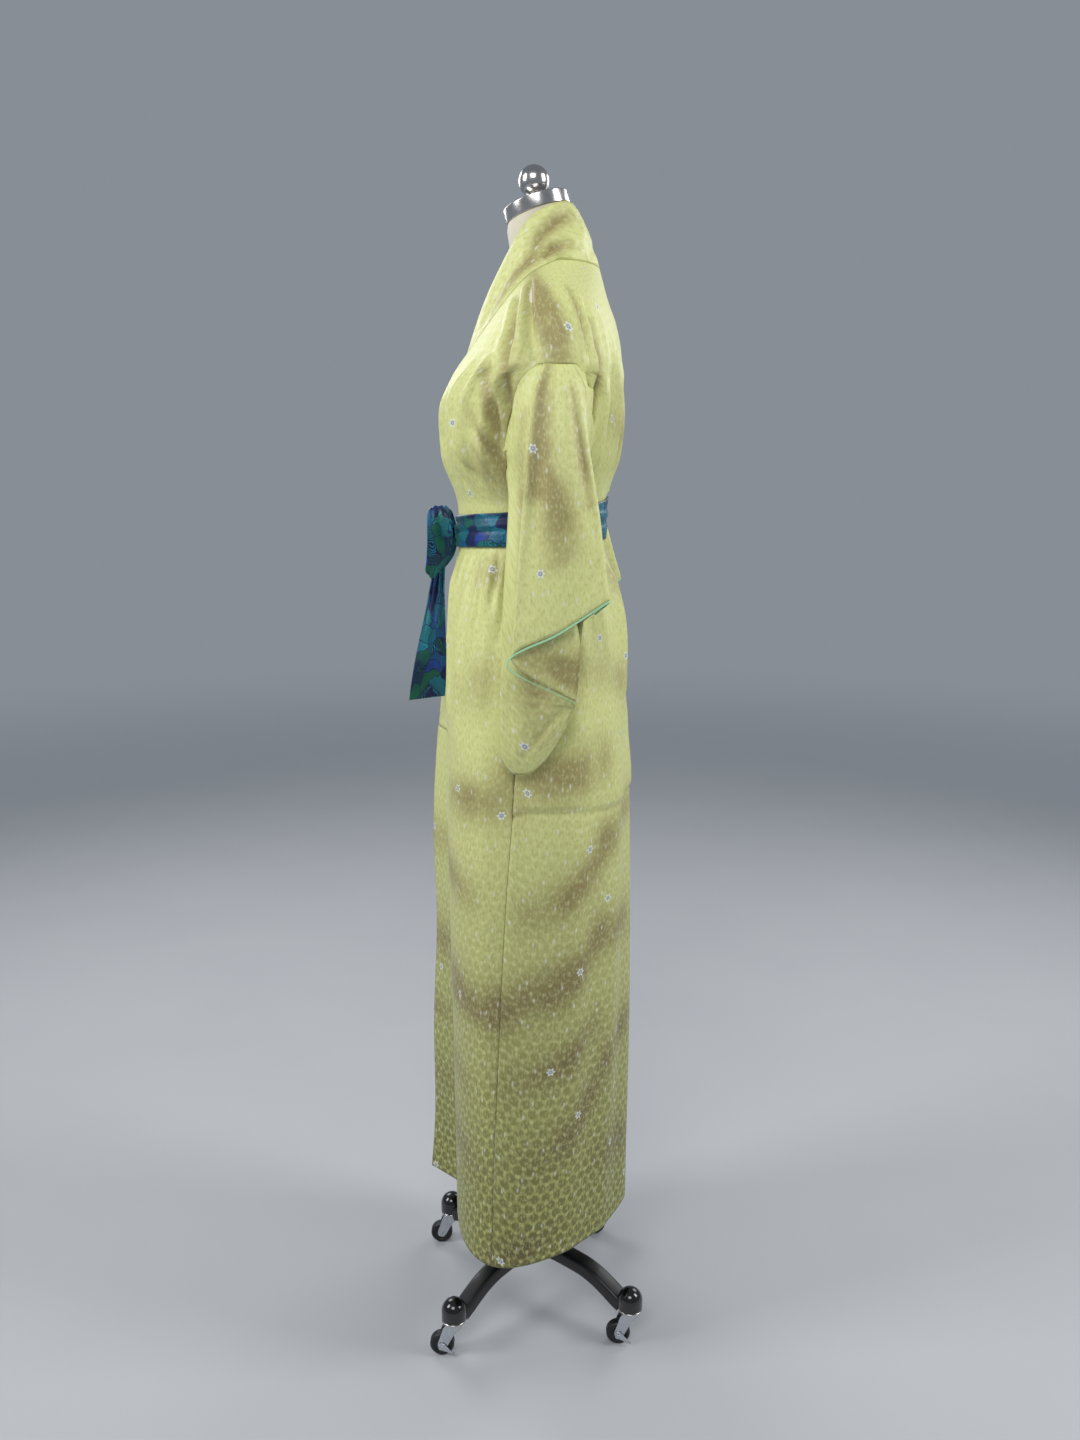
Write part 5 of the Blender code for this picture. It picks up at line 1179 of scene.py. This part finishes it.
def makeSleeve(side):
    # Points (drop, place among the nine lines). The rows are one curve at the shoulder and part in
    # three at the folds toward the cuff; creases move them along their normals.
    cuffRow = sleeve["rowsToCuff"]
    drops = np.concatenate([
        np.linspace(0, 1, cuffRow + 1), np.linspace(1, 1.7, sleeve["rowsBelow"] + 1)[1:],
    ])
    lines = sleeveLines(drops, side)
    cells = sleeve["cells"]
    outer = slice(2 * cells, 6 * cells)  # from the back fold to the turned one
    fine = np.linspace(0, 8, 8 * cells + 1)
    joined = throughStations(lines, fine)
    parted = np.concatenate([
        throughStations(lines[:, :3], fine[: 2 * cells]), throughStations(lines[:, 2:7], fine[outer] - 2),
        throughStations(lines[:, 6:], fine[6 * cells :] - 6),
    ], axis=1)
    apart = ease((drops - 0.6) / 0.4)[:, None, None]
    points = joined * (1 - apart) + parted * apart
    a = sleeve["stationGap"] * fine[None, :] * np.ones((len(drops), 1))
    b = sleeve["dropLength"] * drops[:, None] * np.ones((1, len(fine)))
    creases = softStrokes(a, b, slipped(sleeveCreases, side, *sleeve["creaseSlip"]))
    clouds = softStrokes(a, b, slipped(sleeveCloudsAndShade, side, *sleeve["cloudSlip"]))
    height = creases * ease(drops / 0.06)[:, None] * ease((1.68 - drops) / 0.1)[:, None]
    nearFolds = sum(np.exp(-(((fine - fold) / 0.4) ** 2)) for fold in (2, 6))
    height *= 1 - (drops[:, None] >= 1.0) * nearFolds
    # Near the armhole the body's own creases run on into the sleeve
    fromEdge = np.minimum(fine, 8 - fine)[None, :]
    seamed = (1 - ease(fromEdge / 0.8)) * (1 - ease((drops[:, None] - 0.30) / 0.12))
    seamed = np.maximum(seamed, 1 - ease(drops[:, None] / 0.22))
    bodysCreases = slipped(bodyCreases, side, *creaseSlip)
    height += seamed * softStrokes(roundTheRobe(points), points[..., 2], bodysCreases)
    points = points + normalsOf(points) * height[..., None]
    keep = np.ones((len(drops) - 1, len(fine) - 1), bool)
    keep[cuffRow:, outer] = False
    # Across the cloth map each row has its own true length, measured from the outer line. Below the
    # cuff the open stretch counts as wide as at the cuff.
    steps = np.linalg.norm(np.diff(points, axis=1), axis=-1)
    steps[cuffRow:, outer] = steps[cuffRow, outer]
    steps[:, : 2 * cells] = steps[:, 6 * cells :] = sleeve["stationGap"] / cells
    across = np.concatenate([np.zeros((len(drops), 1)), np.cumsum(steps, axis=1)], axis=1)
    lengths = clothLengths(points, across - across[:, 4 * cells : 4 * cells + 1])
    places, seed = (sleeveBlossoms, 64) if side == left else ((), 67)
    blossoms = blossomField(lengths, places, a, b, seed, 0.13)
    # A little of the hem's deeper colours, dye and painted shade, toward the bag's foot
    deeper = 0.12 * ease((1.25 - points[..., 2]) / 0.3)
    fields = silkFields(lengths, clouds, deeper, blossoms)
    points = turnedOver(points, side)
    piece = sheetPiece(named("sleeve_", side), points, fields, robeCloth,
                       keep, flip=side == right)
    rim = points[cuffRow, 2 * cells + 3 : 6 * cells + 1].copy()
    place = np.arange(len(rim)) / cells
    tip = np.exp(-(((place - 2.67) / 0.73) ** 2))
    rim[:, 1] -= sleeve["cuffTip"] * tip
    rim[:, 2] -= sleeve["cuffRoll"] + 0.0010 + sleeve["cuffTip"] * tip * 0.8
    makeCuffRoll(named("cuff_edge_", side), rim, cells)
    return piece


def tubeShape(path, radius, sides):
    # Circles of one radius, square to a path: p + r (cos a) n + r (sin a) b
    path = np.asarray(path, float)
    ahead = unit(np.gradient(path, axis=0))
    side = unit(np.cross(ahead, [0.0, 0.0, 1.0]) + 1e-9)
    up = np.cross(side, ahead)
    angle = 2 * math.pi * np.arange(sides) / sides
    size = np.broadcast_to(radius, len(path))[:, None, None]
    ring = side[:, None] * np.cos(angle)[:, None] + up[:, None] * np.sin(angle)[:, None]
    points = path[:, None] + size * ring
    return points, gridFaces(len(path), sides, True, True)


def makeCuffRoll(node, rim, cells):
    # Two thin rolls side by side, as the binding shows two fine lines. Past the cuff's front tip it
    # turns in, so that only a thin line of it shows.
    steps = np.linspace(0, 1, 110)
    path = alongCurve(rim, steps)
    run = runLength(*np.diff(rim, axis=0).T)
    place = np.interp(steps * run[-1], run, np.arange(len(rim)) / cells)
    radius = 0.62 * sleeve["cuffRoll"] * (1 - 0.66 * ease((place - 2.72) / 0.45))
    offset = np.array([0.0, 0.0, 0.5 * sleeve["cuffRoll"]])
    shapes = [tubeShape(path + offset, radius, 10), tubeShape(path - offset, radius, 10)]
    return addPiece(node + "_piping", shapes, mint, standBody, [node])


for side in (left, right):
    makeBody(side)
    makeOverlap(side)
    makeSleeve(side)
makeCollar()
print("robe made")

sash = dict(
    out=0.0034, crown=0.0014, knotPull=0.0010, cloth=0.0018, columns=150, rows=22,
    mapWidth=0.055, mapLength=0.75, tailMap=(0.058, 0.24),
)
sashCloth = (sashSilk, "sash_silk", sash["cloth"])
sashLine = table("turn height half", (0, 1.283, 0.022), (90, 1.290, 0.024), (180, 1.305, 0.030))
sashFolds = table(  # share across the band, how far it wanders, width, height
    "place wander width height", (0.44, 0.05, 0.07, -0.0016), (0.20, 0.06, 0.09, 0.0008),
    (0.62, 0.05, 0.08, 0.0011), (0.82, 0.04, 0.06, -0.0010),
)
knot = dict(centre=(0.000, -0.1350 + originShift, 1.284), size=(0.021, 0.0155, 0.022))
bow = dict(width=0.045, gather=0.0014, curl=0.0020, droop=0.0085)
# Middle line of a loop from the knot over its top, down and back: outward, forward and upward from
# the knot's middle, and the share of the strip's width that is spread there
bowLine = table(
    "turn out ahead up spread",
    (0, 0.0208, 0.000, 0.0065, 0.30), (1, 0.035, 0.004, 0.026, 0.46), (2, 0.047, 0.007, 0.037, 0.58),
    (3, 0.055, 0.006, 0.024, 0.70), (4, 0.058, 0.003, -0.008, 0.84), (5, 0.056, 0.007, -0.041, 0.74),
    (6, 0.050, 0.016, -0.067, 0.44), (7, 0.045, 0.008, -0.046, 0.66), (8, 0.043, 0.004, -0.018, 0.80),
    (9, 0.036, 0.003, 0.000, 0.56), (10, 0.0208, 0.000, -0.0065, 0.30),
)
tail = {  # each tail's lower end, and the way across it at its top and at its foot
    "top": 1.2647,
    left: ((0.012, -0.166, 1.030), (0.010, 0.014, 0.0), (-0.012, 0.054, 0.004)),
    right: ((-0.036, -0.176, 1.045), (-0.012, 0.012, 0.0), (-0.050, 0.020, 0.006)),
}


def sashFields(lengths):
    return {"cloth": lengths.reshape(-1, 2)}


def makeSashBand():
    # Level sections of the robe moved out, between two edges that rise to the back, with soft
    # lengthwise folds: sums of height exp(-((place - centre) / width)^2)
    share = np.linspace(0, 1, sash["columns"])
    turn = 180 * share
    middle, half = (read(sashLine, n, turn, "turn") for n in ("height", "half"))
    place = np.linspace(-1, 1, sash["rows"])
    rows = []
    for p in place:
        heights = middle + half * p
        total = robeRings(heights, 0 * heights)[2][:, -1]
        rows.append(onRobe(heights, (share * total)[:, None], left)[:, 0])
    rows = np.array(rows)
    points = np.concatenate([rows, turnedOver(rows, right)[:, -2:0:-1]], axis=1)
    angle = np.linspace(0, 2 * math.pi, points.shape[1], endpoint=False)[None, :]
    across = (place[:, None] + 1) / 2
    folds = np.zeros(points.shape[:2])
    for i, (at, wander, width, height) in enumerate(zip(*sashFolds.values())):
        centre = at + wander * np.sin(2 * angle + 1.7 * i) + 0.4 * wander * np.sin(5 * angle + i)
        folds += height * np.exp(-(((across - centre) / width) ** 2))
    knotSide = np.exp(-((np.minimum(angle, 2 * math.pi - angle) / 0.5) ** 2))
    folds += sash["knotPull"] * knotSide * np.sin(7 * math.pi * across)
    out = sash["out"] + sash["crown"] * np.sin(math.pi * across) ** 0.6 + folds
    away = unit((points - [0, 0.004 + originShift, 0]) * [1, 1, 0])
    points = points + away * out[..., None]
    points = np.concatenate([points, points[:, :1]], axis=1)
    run = sash["mapLength"] * np.linspace(0, 1, points.shape[1])[None, :] * np.ones((len(place), 1))
    lengths = np.stack([run, sash["mapWidth"] * across * np.ones_like(run)], axis=-1)
    return sheetPiece("sash_band", points, sashFields(lengths), sashCloth)


def makeKnot():
    # An oval drawn in at its middle, with gathers that run over it: r (1 + a sin(n u))
    around = np.linspace(0, 2 * math.pi, 73)[None, :-1]
    up = np.linspace(-math.pi / 2, math.pi / 2, 41)[:, None]
    gather = 1 + 0.045 * np.cos(9 * around + 1.5 * np.sin(2 * up)) * np.cos(up)
    gather += 0.03 * np.cos(4 * around + 2 * up)
    waist = 1 - 0.10 * np.exp(-((up / 0.35) ** 2))
    x = np.cos(up) * np.cos(around) * gather * waist
    y = np.cos(up) * np.sin(around) * gather * waist
    z = np.sin(up) * np.ones_like(around)
    points = np.stack([x, y, z], axis=-1) * (0.95 * np.array(knot["size"])) + knot["centre"]
    lengths = np.stack(np.broadcast_arrays(0.045 * around / math.pi, 0.05 * (up + 1.6)), axis=-1)
    return addPiece("sash_knot_cloth", [(points, gridFaces(41, 72, True))], sashSilk, standBody,
                    ["sash_knot"], fields=sashFields(lengths))


def makeLoop(side):
    # A strip along the loop's middle line; its gathers fade from the knot, and its edges curl outward
    turn = np.linspace(0, 10, 121)
    place = np.linspace(-1, 1, 27)[None, :]
    out, ahead, up, spread = (read(bowLine, n, turn, "turn") for n in ("out", "ahead", "up", "spread"))
    middle = np.array(knot["centre"]) + np.stack([side * out, -ahead, up], axis=1)
    across = np.array([side * 0.22, -0.97, 0.0])
    normal = unit(np.cross(np.gradient(middle, axis=0), across))
    loose = ease((spread[:, None] - 0.3) / 0.6)
    gather = bow["gather"] * (1 - loose) * np.cos(3.3 * math.pi * place + 0.6)
    gather = gather + bow["curl"] * loose * (place**2 - 0.3) * -side
    gather = gather + 0.0011 * loose * np.sin(4.2 * place + 0.9 * turn[:, None])
    width = 0.5 * bow["width"] * spread[:, None] * place
    points = middle[:, None] + across * width[..., None] + (normal[:, None] * gather[..., None]) * side
    # The edges fall away from the top and draw up from the bottom, which rounds the loop
    fall = np.exp(-(((turn - 2.0) / 1.2) ** 2)) - 1.3 * np.exp(-(((turn - 6.0) / 0.9) ** 2))
    points[..., 2] -= bow["droop"] * place**2 * fall[:, None]
    run = runLength(*np.diff(middle, axis=0).T)[:, None] * np.ones_like(place)
    lengths = np.stack([sash["mapWidth"] * (place + 1) / 2 * np.ones_like(run), run], axis=-1)
    fields = sashFields(lengths + [0.11 * side, 0.3])
    return sheetPiece(named("sash_loop_", side), points, fields, sashCloth,
                      flip=True)


def makeTail(side):
    # A strip from a gathered top to a wide cut end; its pleats fade as it widens
    x, y, _ = knot["centre"]
    top = np.array([x + 0.007 * side, y - 0.006, tail["top"]])
    bottom, topAcross, bottomAcross = np.array(tail[side])
    share = np.linspace(0, 1, 74)[:, None]
    place = np.linspace(-0.5, 0.5, 27)[None, :]
    bend = ease(share)[..., None]
    centre = top * (1 - share[..., None]) + (bottom + [0, originShift, 0]) * share[..., None]
    reach = topAcross * (1 - bend) + bottomAcross * bend
    points = centre + reach * place[..., None]
    pleat = 0.0030 * (1 - ease(share / 0.8)) * np.cos(5 * math.pi * place) * ease(share / 0.08)
    pleat = pleat + 0.0022 * np.sin(7 * share + 3 * place) * ease(share / 0.3)
    normal = unit(np.cross(reach, [0.0, 0.0, -1.0]))
    points = points + normal * pleat[..., None]
    mapWidth, mapLength = sash["tailMap"]
    lengths = np.stack(np.broadcast_arrays(mapWidth * (place + 0.5), mapLength * share), axis=-1)
    fields = sashFields(lengths + [0.3 * side, 0.7])
    return sheetPiece(named("sash_tail_", side), points, fields, sashCloth)


makeSashBand()
makeKnot()
for side in (left, right):
    makeLoop(side)
    makeTail(side)
print("sash made")

# Dress form: half width, widest line, front, back
form = table(
    "height halfWidth middle front back",
    (0.975, 0.118, 0.010, -0.066, 0.090), (0.985, 0.146, 0.010, -0.082, 0.108),
    (1.005, 0.160, 0.010, -0.094, 0.119), (1.060, 0.167, 0.010, -0.102, 0.125),
    (1.130, 0.160, 0.008, -0.101, 0.117), (1.190, 0.144, 0.006, -0.098, 0.104),
    (1.240, 0.126, 0.004, -0.093, 0.090), (1.300, 0.121, 0.004, -0.091, 0.086),
    (1.360, 0.133, 0.008, -0.101, 0.095), (1.420, 0.149, 0.014, -0.117, 0.106),
    (1.460, 0.162, 0.019, -0.121, 0.112), (1.500, 0.176, 0.024, -0.104, 0.116),
    (1.540, 0.186, 0.027, -0.078, 0.117),
)
formNeck = table(
    "height halfWidth middle front back",
    (1.668, 0.057, 0.022, -0.031, 0.074),
    (1.685, 0.0515, 0.014, -0.0355, 0.0625),
    (1.708, 0.0475, 0.0085, -0.0392, 0.0545),
)
neck = dict(
    radius=0.0465, tilt=math.radians(17.0), middle=(0.000, 0.0066 + originShift, 1.7319), band=0.0185,
    bandRadius=0.0480, ball=0.0222, ballMiddle=(0.000, -0.0006 + originShift, 1.7767), seat=0.0040,
    stem=0.008, stemFoot=0.0125, stemHigh=0.013,
)


def makeForm():
    # Ovals at each level of the tables: x = half cos a, y = middle + depth sin a. Over the shoulder
    # they lie just inside the robe's own sections, and the last one is tilted under the cap.
    turn = 2 * math.pi * np.arange(96) / 96
    shoulder = 1.54
    spans = (
        (form, np.linspace(0.975, shoulder, 70)), (robe, np.linspace(1.585, 1.648, 22)),
        (formNeck, np.linspace(1.672, 1.708, 8)),
    )
    names = ("halfWidth", "middle", "front", "back")
    rings = []
    for source, levels in spans:
        levels = levels[:, None]
        half, middle, front, back = (read(source, name, levels) for name in names)
        inside = 0.0 * levels
        if source is robe:
            inside += neck["seat"] + 0.0075 * (1 - ease((levels - shoulder - 0.002) / 0.055))
            inside += 0.012 * ease((levels - 1.60) / 0.05)
        depth = np.where(np.sin(turn) < 0, middle - front - inside, back - middle - inside)
        x, y = (half - inside) * np.cos(turn), middle + depth * np.sin(turn)
        rings.append(np.stack([x, y, levels * np.ones_like(x)], axis=-1))
    tilt = neck["tilt"]
    flat = np.stack([np.cos(turn), np.sin(turn) * math.cos(tilt), np.sin(turn) * math.sin(tilt)], axis=1)
    rings.append((np.array(neck["middle"]) - [0, originShift, 0] + neck["radius"] * flat)[None])
    rings = np.concatenate(rings) + [0, originShift, 0]
    faces = gridFaces(len(rings), len(turn), True, True)
    piece = addPiece("form_cover", [(rings, faces)], jersey, standBody, ["form_body"])
    return piece


def makeNeckCap():
    # Turned shapes on the tilted axis: a flat cap with a rounded band, and a stem that carries a ball
    tilt = neck["tilt"]
    axes = [[1, 0, 0], [0, math.cos(tilt), math.sin(tilt)], [0, -math.sin(tilt), math.cos(tilt)]]
    r, t = neck["bandRadius"], neck["band"]
    corners = [(0.0, 0.0), (r, 0.0), (r, t), (0.6 * r, t + 0.0009), (0.0, t + 0.0012)]
    profile = roundedLine(corners, 0.0016, 6, closed=False)
    place = np.array(neck["middle"]) + 0.0004 * np.array(axes[2])
    shapes = [turnedShape(profile, 96, place, axes)]
    arc = np.linspace(-math.pi / 2, math.pi / 2, 33)
    ball = np.stack([neck["ball"] * np.cos(arc), neck["ball"] * np.sin(arc)], axis=1)
    shapes.append(turnedShape(ball, 64, neck["ballMiddle"]))
    s, f, high = neck["stem"], neck["stemFoot"], neck["stemHigh"]
    corners = [(0.0, 0.0), (f, 0.0), (0.95 * f, 0.0016), (s, 0.0028), (s, high), (0.0, high)]
    foot = roundedLine(corners, 0.0008, 4, closed=False)
    footPlace = np.array(neck["middle"]) + (t + 0.0008) * np.array(axes[2])
    shapes.append(turnedShape(foot, 48, footPlace, axes))
    return addPiece("neck_cap_chrome", shapes, chrome, standBody, ["neck_cap"])


stand = dict(
    capOut=0.1987, capBottom=0.058, capTop=0.0955, capRadius=0.0195, turns=(50, 140, 230, 320),
    labels=("back_left", "back_right", "front_right", "front_left"), hubRadius=0.024, hub=(0.066, 0.112),
    poleRadius=0.0145, poleTop=0.9745, legWidth=0.028, legDepth=0.024, legRound=0.0065,
)
legLine = table(
    "reach height",
    (0.010, 0.0900), (0.060, 0.0925), (0.100, 0.0918), (0.130, 0.086), (0.155, 0.076), (0.175, 0.0665),
    (0.188, 0.0615),
)


def makePole():
    # Turned shapes on the stand's axis: a tube with a ring under the form, and a waisted hub
    axis = (0, originShift, 0)
    low, high = stand["hub"]
    r, top, foot = stand["poleRadius"], stand["poleTop"], high + 0.0004
    profile = roundedLine([(0, top), (r, top), (r, foot), (0, foot)], 0.001, 4, closed=False)
    wide, ringLow, ringHigh = r + 0.005, top - 0.0195, top - 0.0025
    ring = roundedLine([(r, ringLow), (wide, ringLow), (wide, ringHigh), (r, ringHigh)], 0.001, 4)
    ring = np.concatenate([ring, ring[:1]])
    shapes = [turnedShape(profile[::-1], 48, axis), turnedShape(ring, 48, axis)]
    addPiece("pole_tube", shapes, paint, standBody, ["pole"])
    r = stand["hubRadius"]
    corners = [
        (0, low), (r - 0.003, low), (r, low + 0.003), (r, low + 0.020), (r - 0.0016, low + 0.024),
        (r - 0.0016, high - 0.024), (r, high - 0.020), (r, high - 0.003), (r - 0.003, high), (0, high),
    ]
    hub = turnedShape(roundedLine(corners, 0.0012, 4, closed=False), 64, axis)
    addPiece("hub_casting", [hub], paint, standBody, ["hub"])


def makeLeg(label, turn):
    # A bar of rounded section carried along its bow: p + side w + up h, from the hub to the cap
    at = np.linspace(0.0215, 0.1840, 56)
    line = np.stack([at, read(legLine, "height", at, "reach")], axis=1)
    along = unit(np.gradient(line, axis=0))
    w, d, r = 0.5 * stand["legWidth"], 0.5 * stand["legDepth"], stand["legRound"]
    section = roundedLine([(w, d), (-w, d), (-w, -d), (w, -d)], r, 6)
    out = np.array([math.cos(turn), math.sin(turn), 0.0])
    sideways = np.array([-math.sin(turn), math.cos(turn), 0.0])
    up = np.array([0.0, 0.0, 1.0])
    normal = -along[:, 1:] * out + along[:, :1] * up
    middle = line[:, :1] * out + line[:, 1:] * up + [0, originShift, 0]
    points = middle[:, None] + section[None, :, :1] * sideways + section[None, :, 1:] * normal[:, None]
    faces = gridFaces(len(at), len(section), True, True)
    addPiece("leg_bar_" + label, [(points, faces)], paint, standBody, ["leg_" + label])


def makeCap(label, place):
    # Turned shapes: a dome (r cos a, r sin a) on a short skirt, and a bright ring under it
    r, low, high = stand["capRadius"], stand["capBottom"], stand["capTop"]
    arc = np.linspace(math.pi / 2, 0, 20)
    dome = np.stack([r * np.cos(arc), high - r + r * np.sin(arc)], axis=1)
    dome[0, 0] = 0.0
    under = low + 0.0044
    corners = [(r, low + 0.0065), (r, under), (0.006, under), (0.0, under)]
    skirt = roundedLine(corners, 0.0012, 5, closed=False)
    addPiece("cap_dome_" + label, [turnedShape(np.concatenate([dome, skirt]), 64, place)], capPlastic,
             standBody, ["cap_" + label])
    inner, top = r - 0.0012, low + 0.0042
    corners = [(0.0, low), (inner, low), (r, low + 0.0008), (r, low + 0.0034), (inner, top), (0.0, top)]
    ring = roundedLine(corners, 0.0008, 5, closed=False)
    addPiece("cap_ring_" + label, [turnedShape(ring, 64, place)], chrome, standBody, [])


caster = dict(
    trail=0.0190, wheelRadius=0.0190, wheelWidth=0.0160, cheek=0.0022, axle=0.0026, forkRadius=0.0165,
    bridge=(0.0128, 0.0532, 0.0556), clearance=0.0004, forkTop=0.0576, lever=0.0016, bore=0.0031,
)
forkSide = (
    (0.0130, 0.0556), (-0.0130, 0.0556), (-0.0165, 0.0500), (-0.0262, 0.0220), (-0.0240, 0.0135),
    (-0.0145, 0.0130), (-0.0105, 0.0180), (0.0010, 0.0400), (0.0130, 0.0510),
)
leverSide = (
    (-0.0062, 0.0030), (-0.0040, 0.0062), (0.0020, 0.0064), (0.0062, 0.0030), (0.0150, -0.0078),
    (0.0205, -0.0125), (0.0190, -0.0142), (0.0110, -0.0105), (0.0010, -0.0064), (-0.0045, -0.0050),
)
# A plate's outline lies in Y and Z with its thickness along X; a turned shape's axis lies along X
alongX = [[0, 1, 0], [0, 0, 1], [1, 0, 0]]


def makeCaster(label, place, braked):
    # Plates of an outline in Y and Z for the fork's cheeks, its bridge and the lever; turned shapes
    # for the top plate, the axle and the wheel, whose profile has a rim and a hollow web
    x, y, _ = place
    half = 0.5 * caster["wheelWidth"] + caster["clearance"]
    cheek = caster["cheek"]
    body = "caster_" + label
    outline = roundedLine(forkSide, 0.004, 5)
    shapes = []
    for out in (half + 0.5 * cheek, -half - 0.5 * cheek):
        shapes.append(plateShape(outline, cheek, 0.0006, (x + out, y, 0), alongX))
    reach, low, high = caster["bridge"]
    corners = [(reach, high), (-reach, high), (-reach, low), (reach, low)]
    bridge = roundedLine(corners, 0.0006, 3)
    shapes.append(plateShape(bridge, 2 * half + 1.2 * cheek, 0.0004, (x, y, 0), alongX))
    r, top, under = caster["forkRadius"], caster["forkTop"], caster["forkTop"] - 0.0024
    plate = roundedLine([(0, under), (r, under), (r, top), (0, top)], 0.0008, 5, closed=False)
    shapes.append(turnedShape(plate, 56, (x, y, 0)))
    r, inner = caster["axle"], half + cheek + 0.0010
    outer = inner + (caster["lever"] + caster["clearance"] if braked else 0.0)
    axle = roundedLine([(0, -inner), (r, -inner), (r, outer), (0, outer)], 0.0007, 5, closed=False)
    middle = (x, y - caster["trail"], caster["wheelRadius"])
    shapes.append(turnedShape(axle, 32, middle, alongX))
    addPiece("caster_fork_" + label, shapes, zinc, body, ["fork_" + label])
    r, w, bore = caster["wheelRadius"], 0.5 * caster["wheelWidth"], caster["bore"]
    rim, web = 0.62 * r, w - 0.0012
    outwards = np.array([
        (bore, w), (0.30 * r, w), (0.34 * r, web), (rim, web), (rim + 0.001, w), (r - 0.0026, w),
        (r, w - 0.0030),
    ])
    profile = roundedLine(np.concatenate([outwards * [1, -1], outwards[::-1]]), 0.0010, 4)
    wheel = turnedShape(np.concatenate([profile, profile[:1]]), 72, middle, alongX)
    addPiece("wheel_tyre_" + label, [wheel], tyre, "rolling_wheel_" + label,
             ["wheel_" + label])
    if braked:
        outside = x + half + cheek + caster["clearance"] + 0.5 * caster["lever"]
        outline = roundedLine(leverSide, 0.0016, 4)
        lever = plateShape(outline, caster["lever"], 0.0005, (outside, *middle[1:]), alongX)
        addPiece("brake_tab_" + label, [lever], zinc, "brake_" + label,
                 ["brake_lever_" + label])


makeForm()
makeNeckCap()
makePole()
for label, degrees in zip(stand["labels"], stand["turns"]):
    turn = math.radians(degrees)
    place = (stand["capOut"] * math.cos(turn), stand["capOut"] * math.sin(turn) + originShift, 0.0)
    makeLeg(label, turn)
    makeCap(label, place)
    makeCaster(label, place, braked=label.endswith("left"))
print("stand made")

studio = dict(
    floor="#BFC1C4", floorPatch="#B9BBBF", floorSize=300.0, floorScale=3.0,  # patches 0.33 m across
    world="#A9B2BC", fill=0.50, backdrop="#878E96",
    cameraX=1.73, cameraY=0.008, cameraZ=1.32, pitch=10.7, lens=28.25,
)
lights = (  # place, aimed at, width, height, watts
    ((0.9, -2.9, 2.8), (0, 0, 1.4), 1.0, 1.8, 56),
    ((0.6, 2.9, 2.7), (0, 0, 1.4), 1.0, 1.8, 54),
    ((2.7, -0.4, 3.1), (0, 0, 1.4), 1.6, 1.2, 40),
    ((-2.2, -1.6, 2.6), (0, 0, 1.2), 1.4, 1.4, 24),
    ((-2.0, 2.0, 2.4), (0, 0, 1.1), 1.4, 1.4, 20),
)


def makeStudio():
    # A flat square of paper, a plain world, and the lamps and the camera, each turned to what it faces
    mesh = bpy.data.meshes.new("studio_floor")
    size = studio["floorSize"]
    corners = [(-size, -size, 0), (size, -size, 0), (size, size, 0), (-size, size, 0)]
    mesh.from_pydata(corners, [], [(0, 1, 2, 3)])
    floor = bpy.data.objects.new("studio_floor", mesh)
    bpy.context.scene.collection.objects.link(floor)
    material, tree = startMaterial("palePaperFloor")
    place = put(tree, "TexCoord", (), out=3)
    blotch = put(tree, "TexNoise", {"Vector": place, "Scale": studio["floorScale"], "Detail": 3.0})
    colour = put(tree, "Mix", {0: blotch, 6: linear(studio["floor"]), 7: linear(studio["floorPatch"])}, out=2,
                 data_type="RGBA")
    # Further out the paper fades to the backdrop's tone, so that no horizon shows
    near = put(tree, "BsdfPrincipled", {"Base Color": colour, "Roughness": 0.7})
    far = put(tree, "Emission", {"Color": linear(studio["backdrop"])})
    share = put(tree, "VectorMath", (place,), out=1, operation="LENGTH")
    share = put(tree, "MapRange", {"Value": share, "From Min": 1.6, "From Max": 8.0},
                interpolation_type="SMOOTHSTEP")
    put(tree, "OutputMaterial", {"Surface": put(tree, "MixShader", (share, near, far))}, out=slice(0))
    mesh.materials.append(material)
    world = bpy.data.worlds.new("studio")
    world.use_nodes = True
    tree = world.node_tree
    tree.nodes.clear()
    fill = put(tree, "Background", {"Color": linear(studio["world"]), "Strength": studio["fill"]})
    seen = put(tree, "Background", {"Color": linear(studio["backdrop"])})
    both = put(tree, "MixShader", (put(tree, "LightPath", ()), fill, seen))
    put(tree, "OutputWorld", {"Surface": both}, out=slice(0))
    bpy.context.scene.world = world
    bpy.context.scene.view_settings.view_transform = "Standard"
    for i, (place, target, width, height, watts) in enumerate(lights):
        data = bpy.data.lights.new(f"softbox_{i}", "AREA")
        data.shape = "RECTANGLE"
        data.energy, data.size, data.size_y = watts, width, height
        lamp = bpy.data.objects.new(data.name, data)
        lamp.location = place
        aim = unit(np.array(target, float) - np.array(place))
        lamp.rotation_euler = (math.acos(-aim[2]), 0.0, math.atan2(-aim[0], aim[1]))
        bpy.context.scene.collection.objects.link(lamp)
    data = bpy.data.cameras.new("camera")
    data.lens, data.sensor_width = studio["lens"], 36.0
    camera = bpy.data.objects.new("camera", data)
    camera.location = (studio["cameraX"], studio["cameraY"] + originShift, studio["cameraZ"])
    camera.rotation_euler = (math.radians(90 - studio["pitch"]), 0.0, math.radians(90))
    bpy.context.scene.collection.objects.link(camera)
    bpy.context.scene.camera = camera


makeStudio()
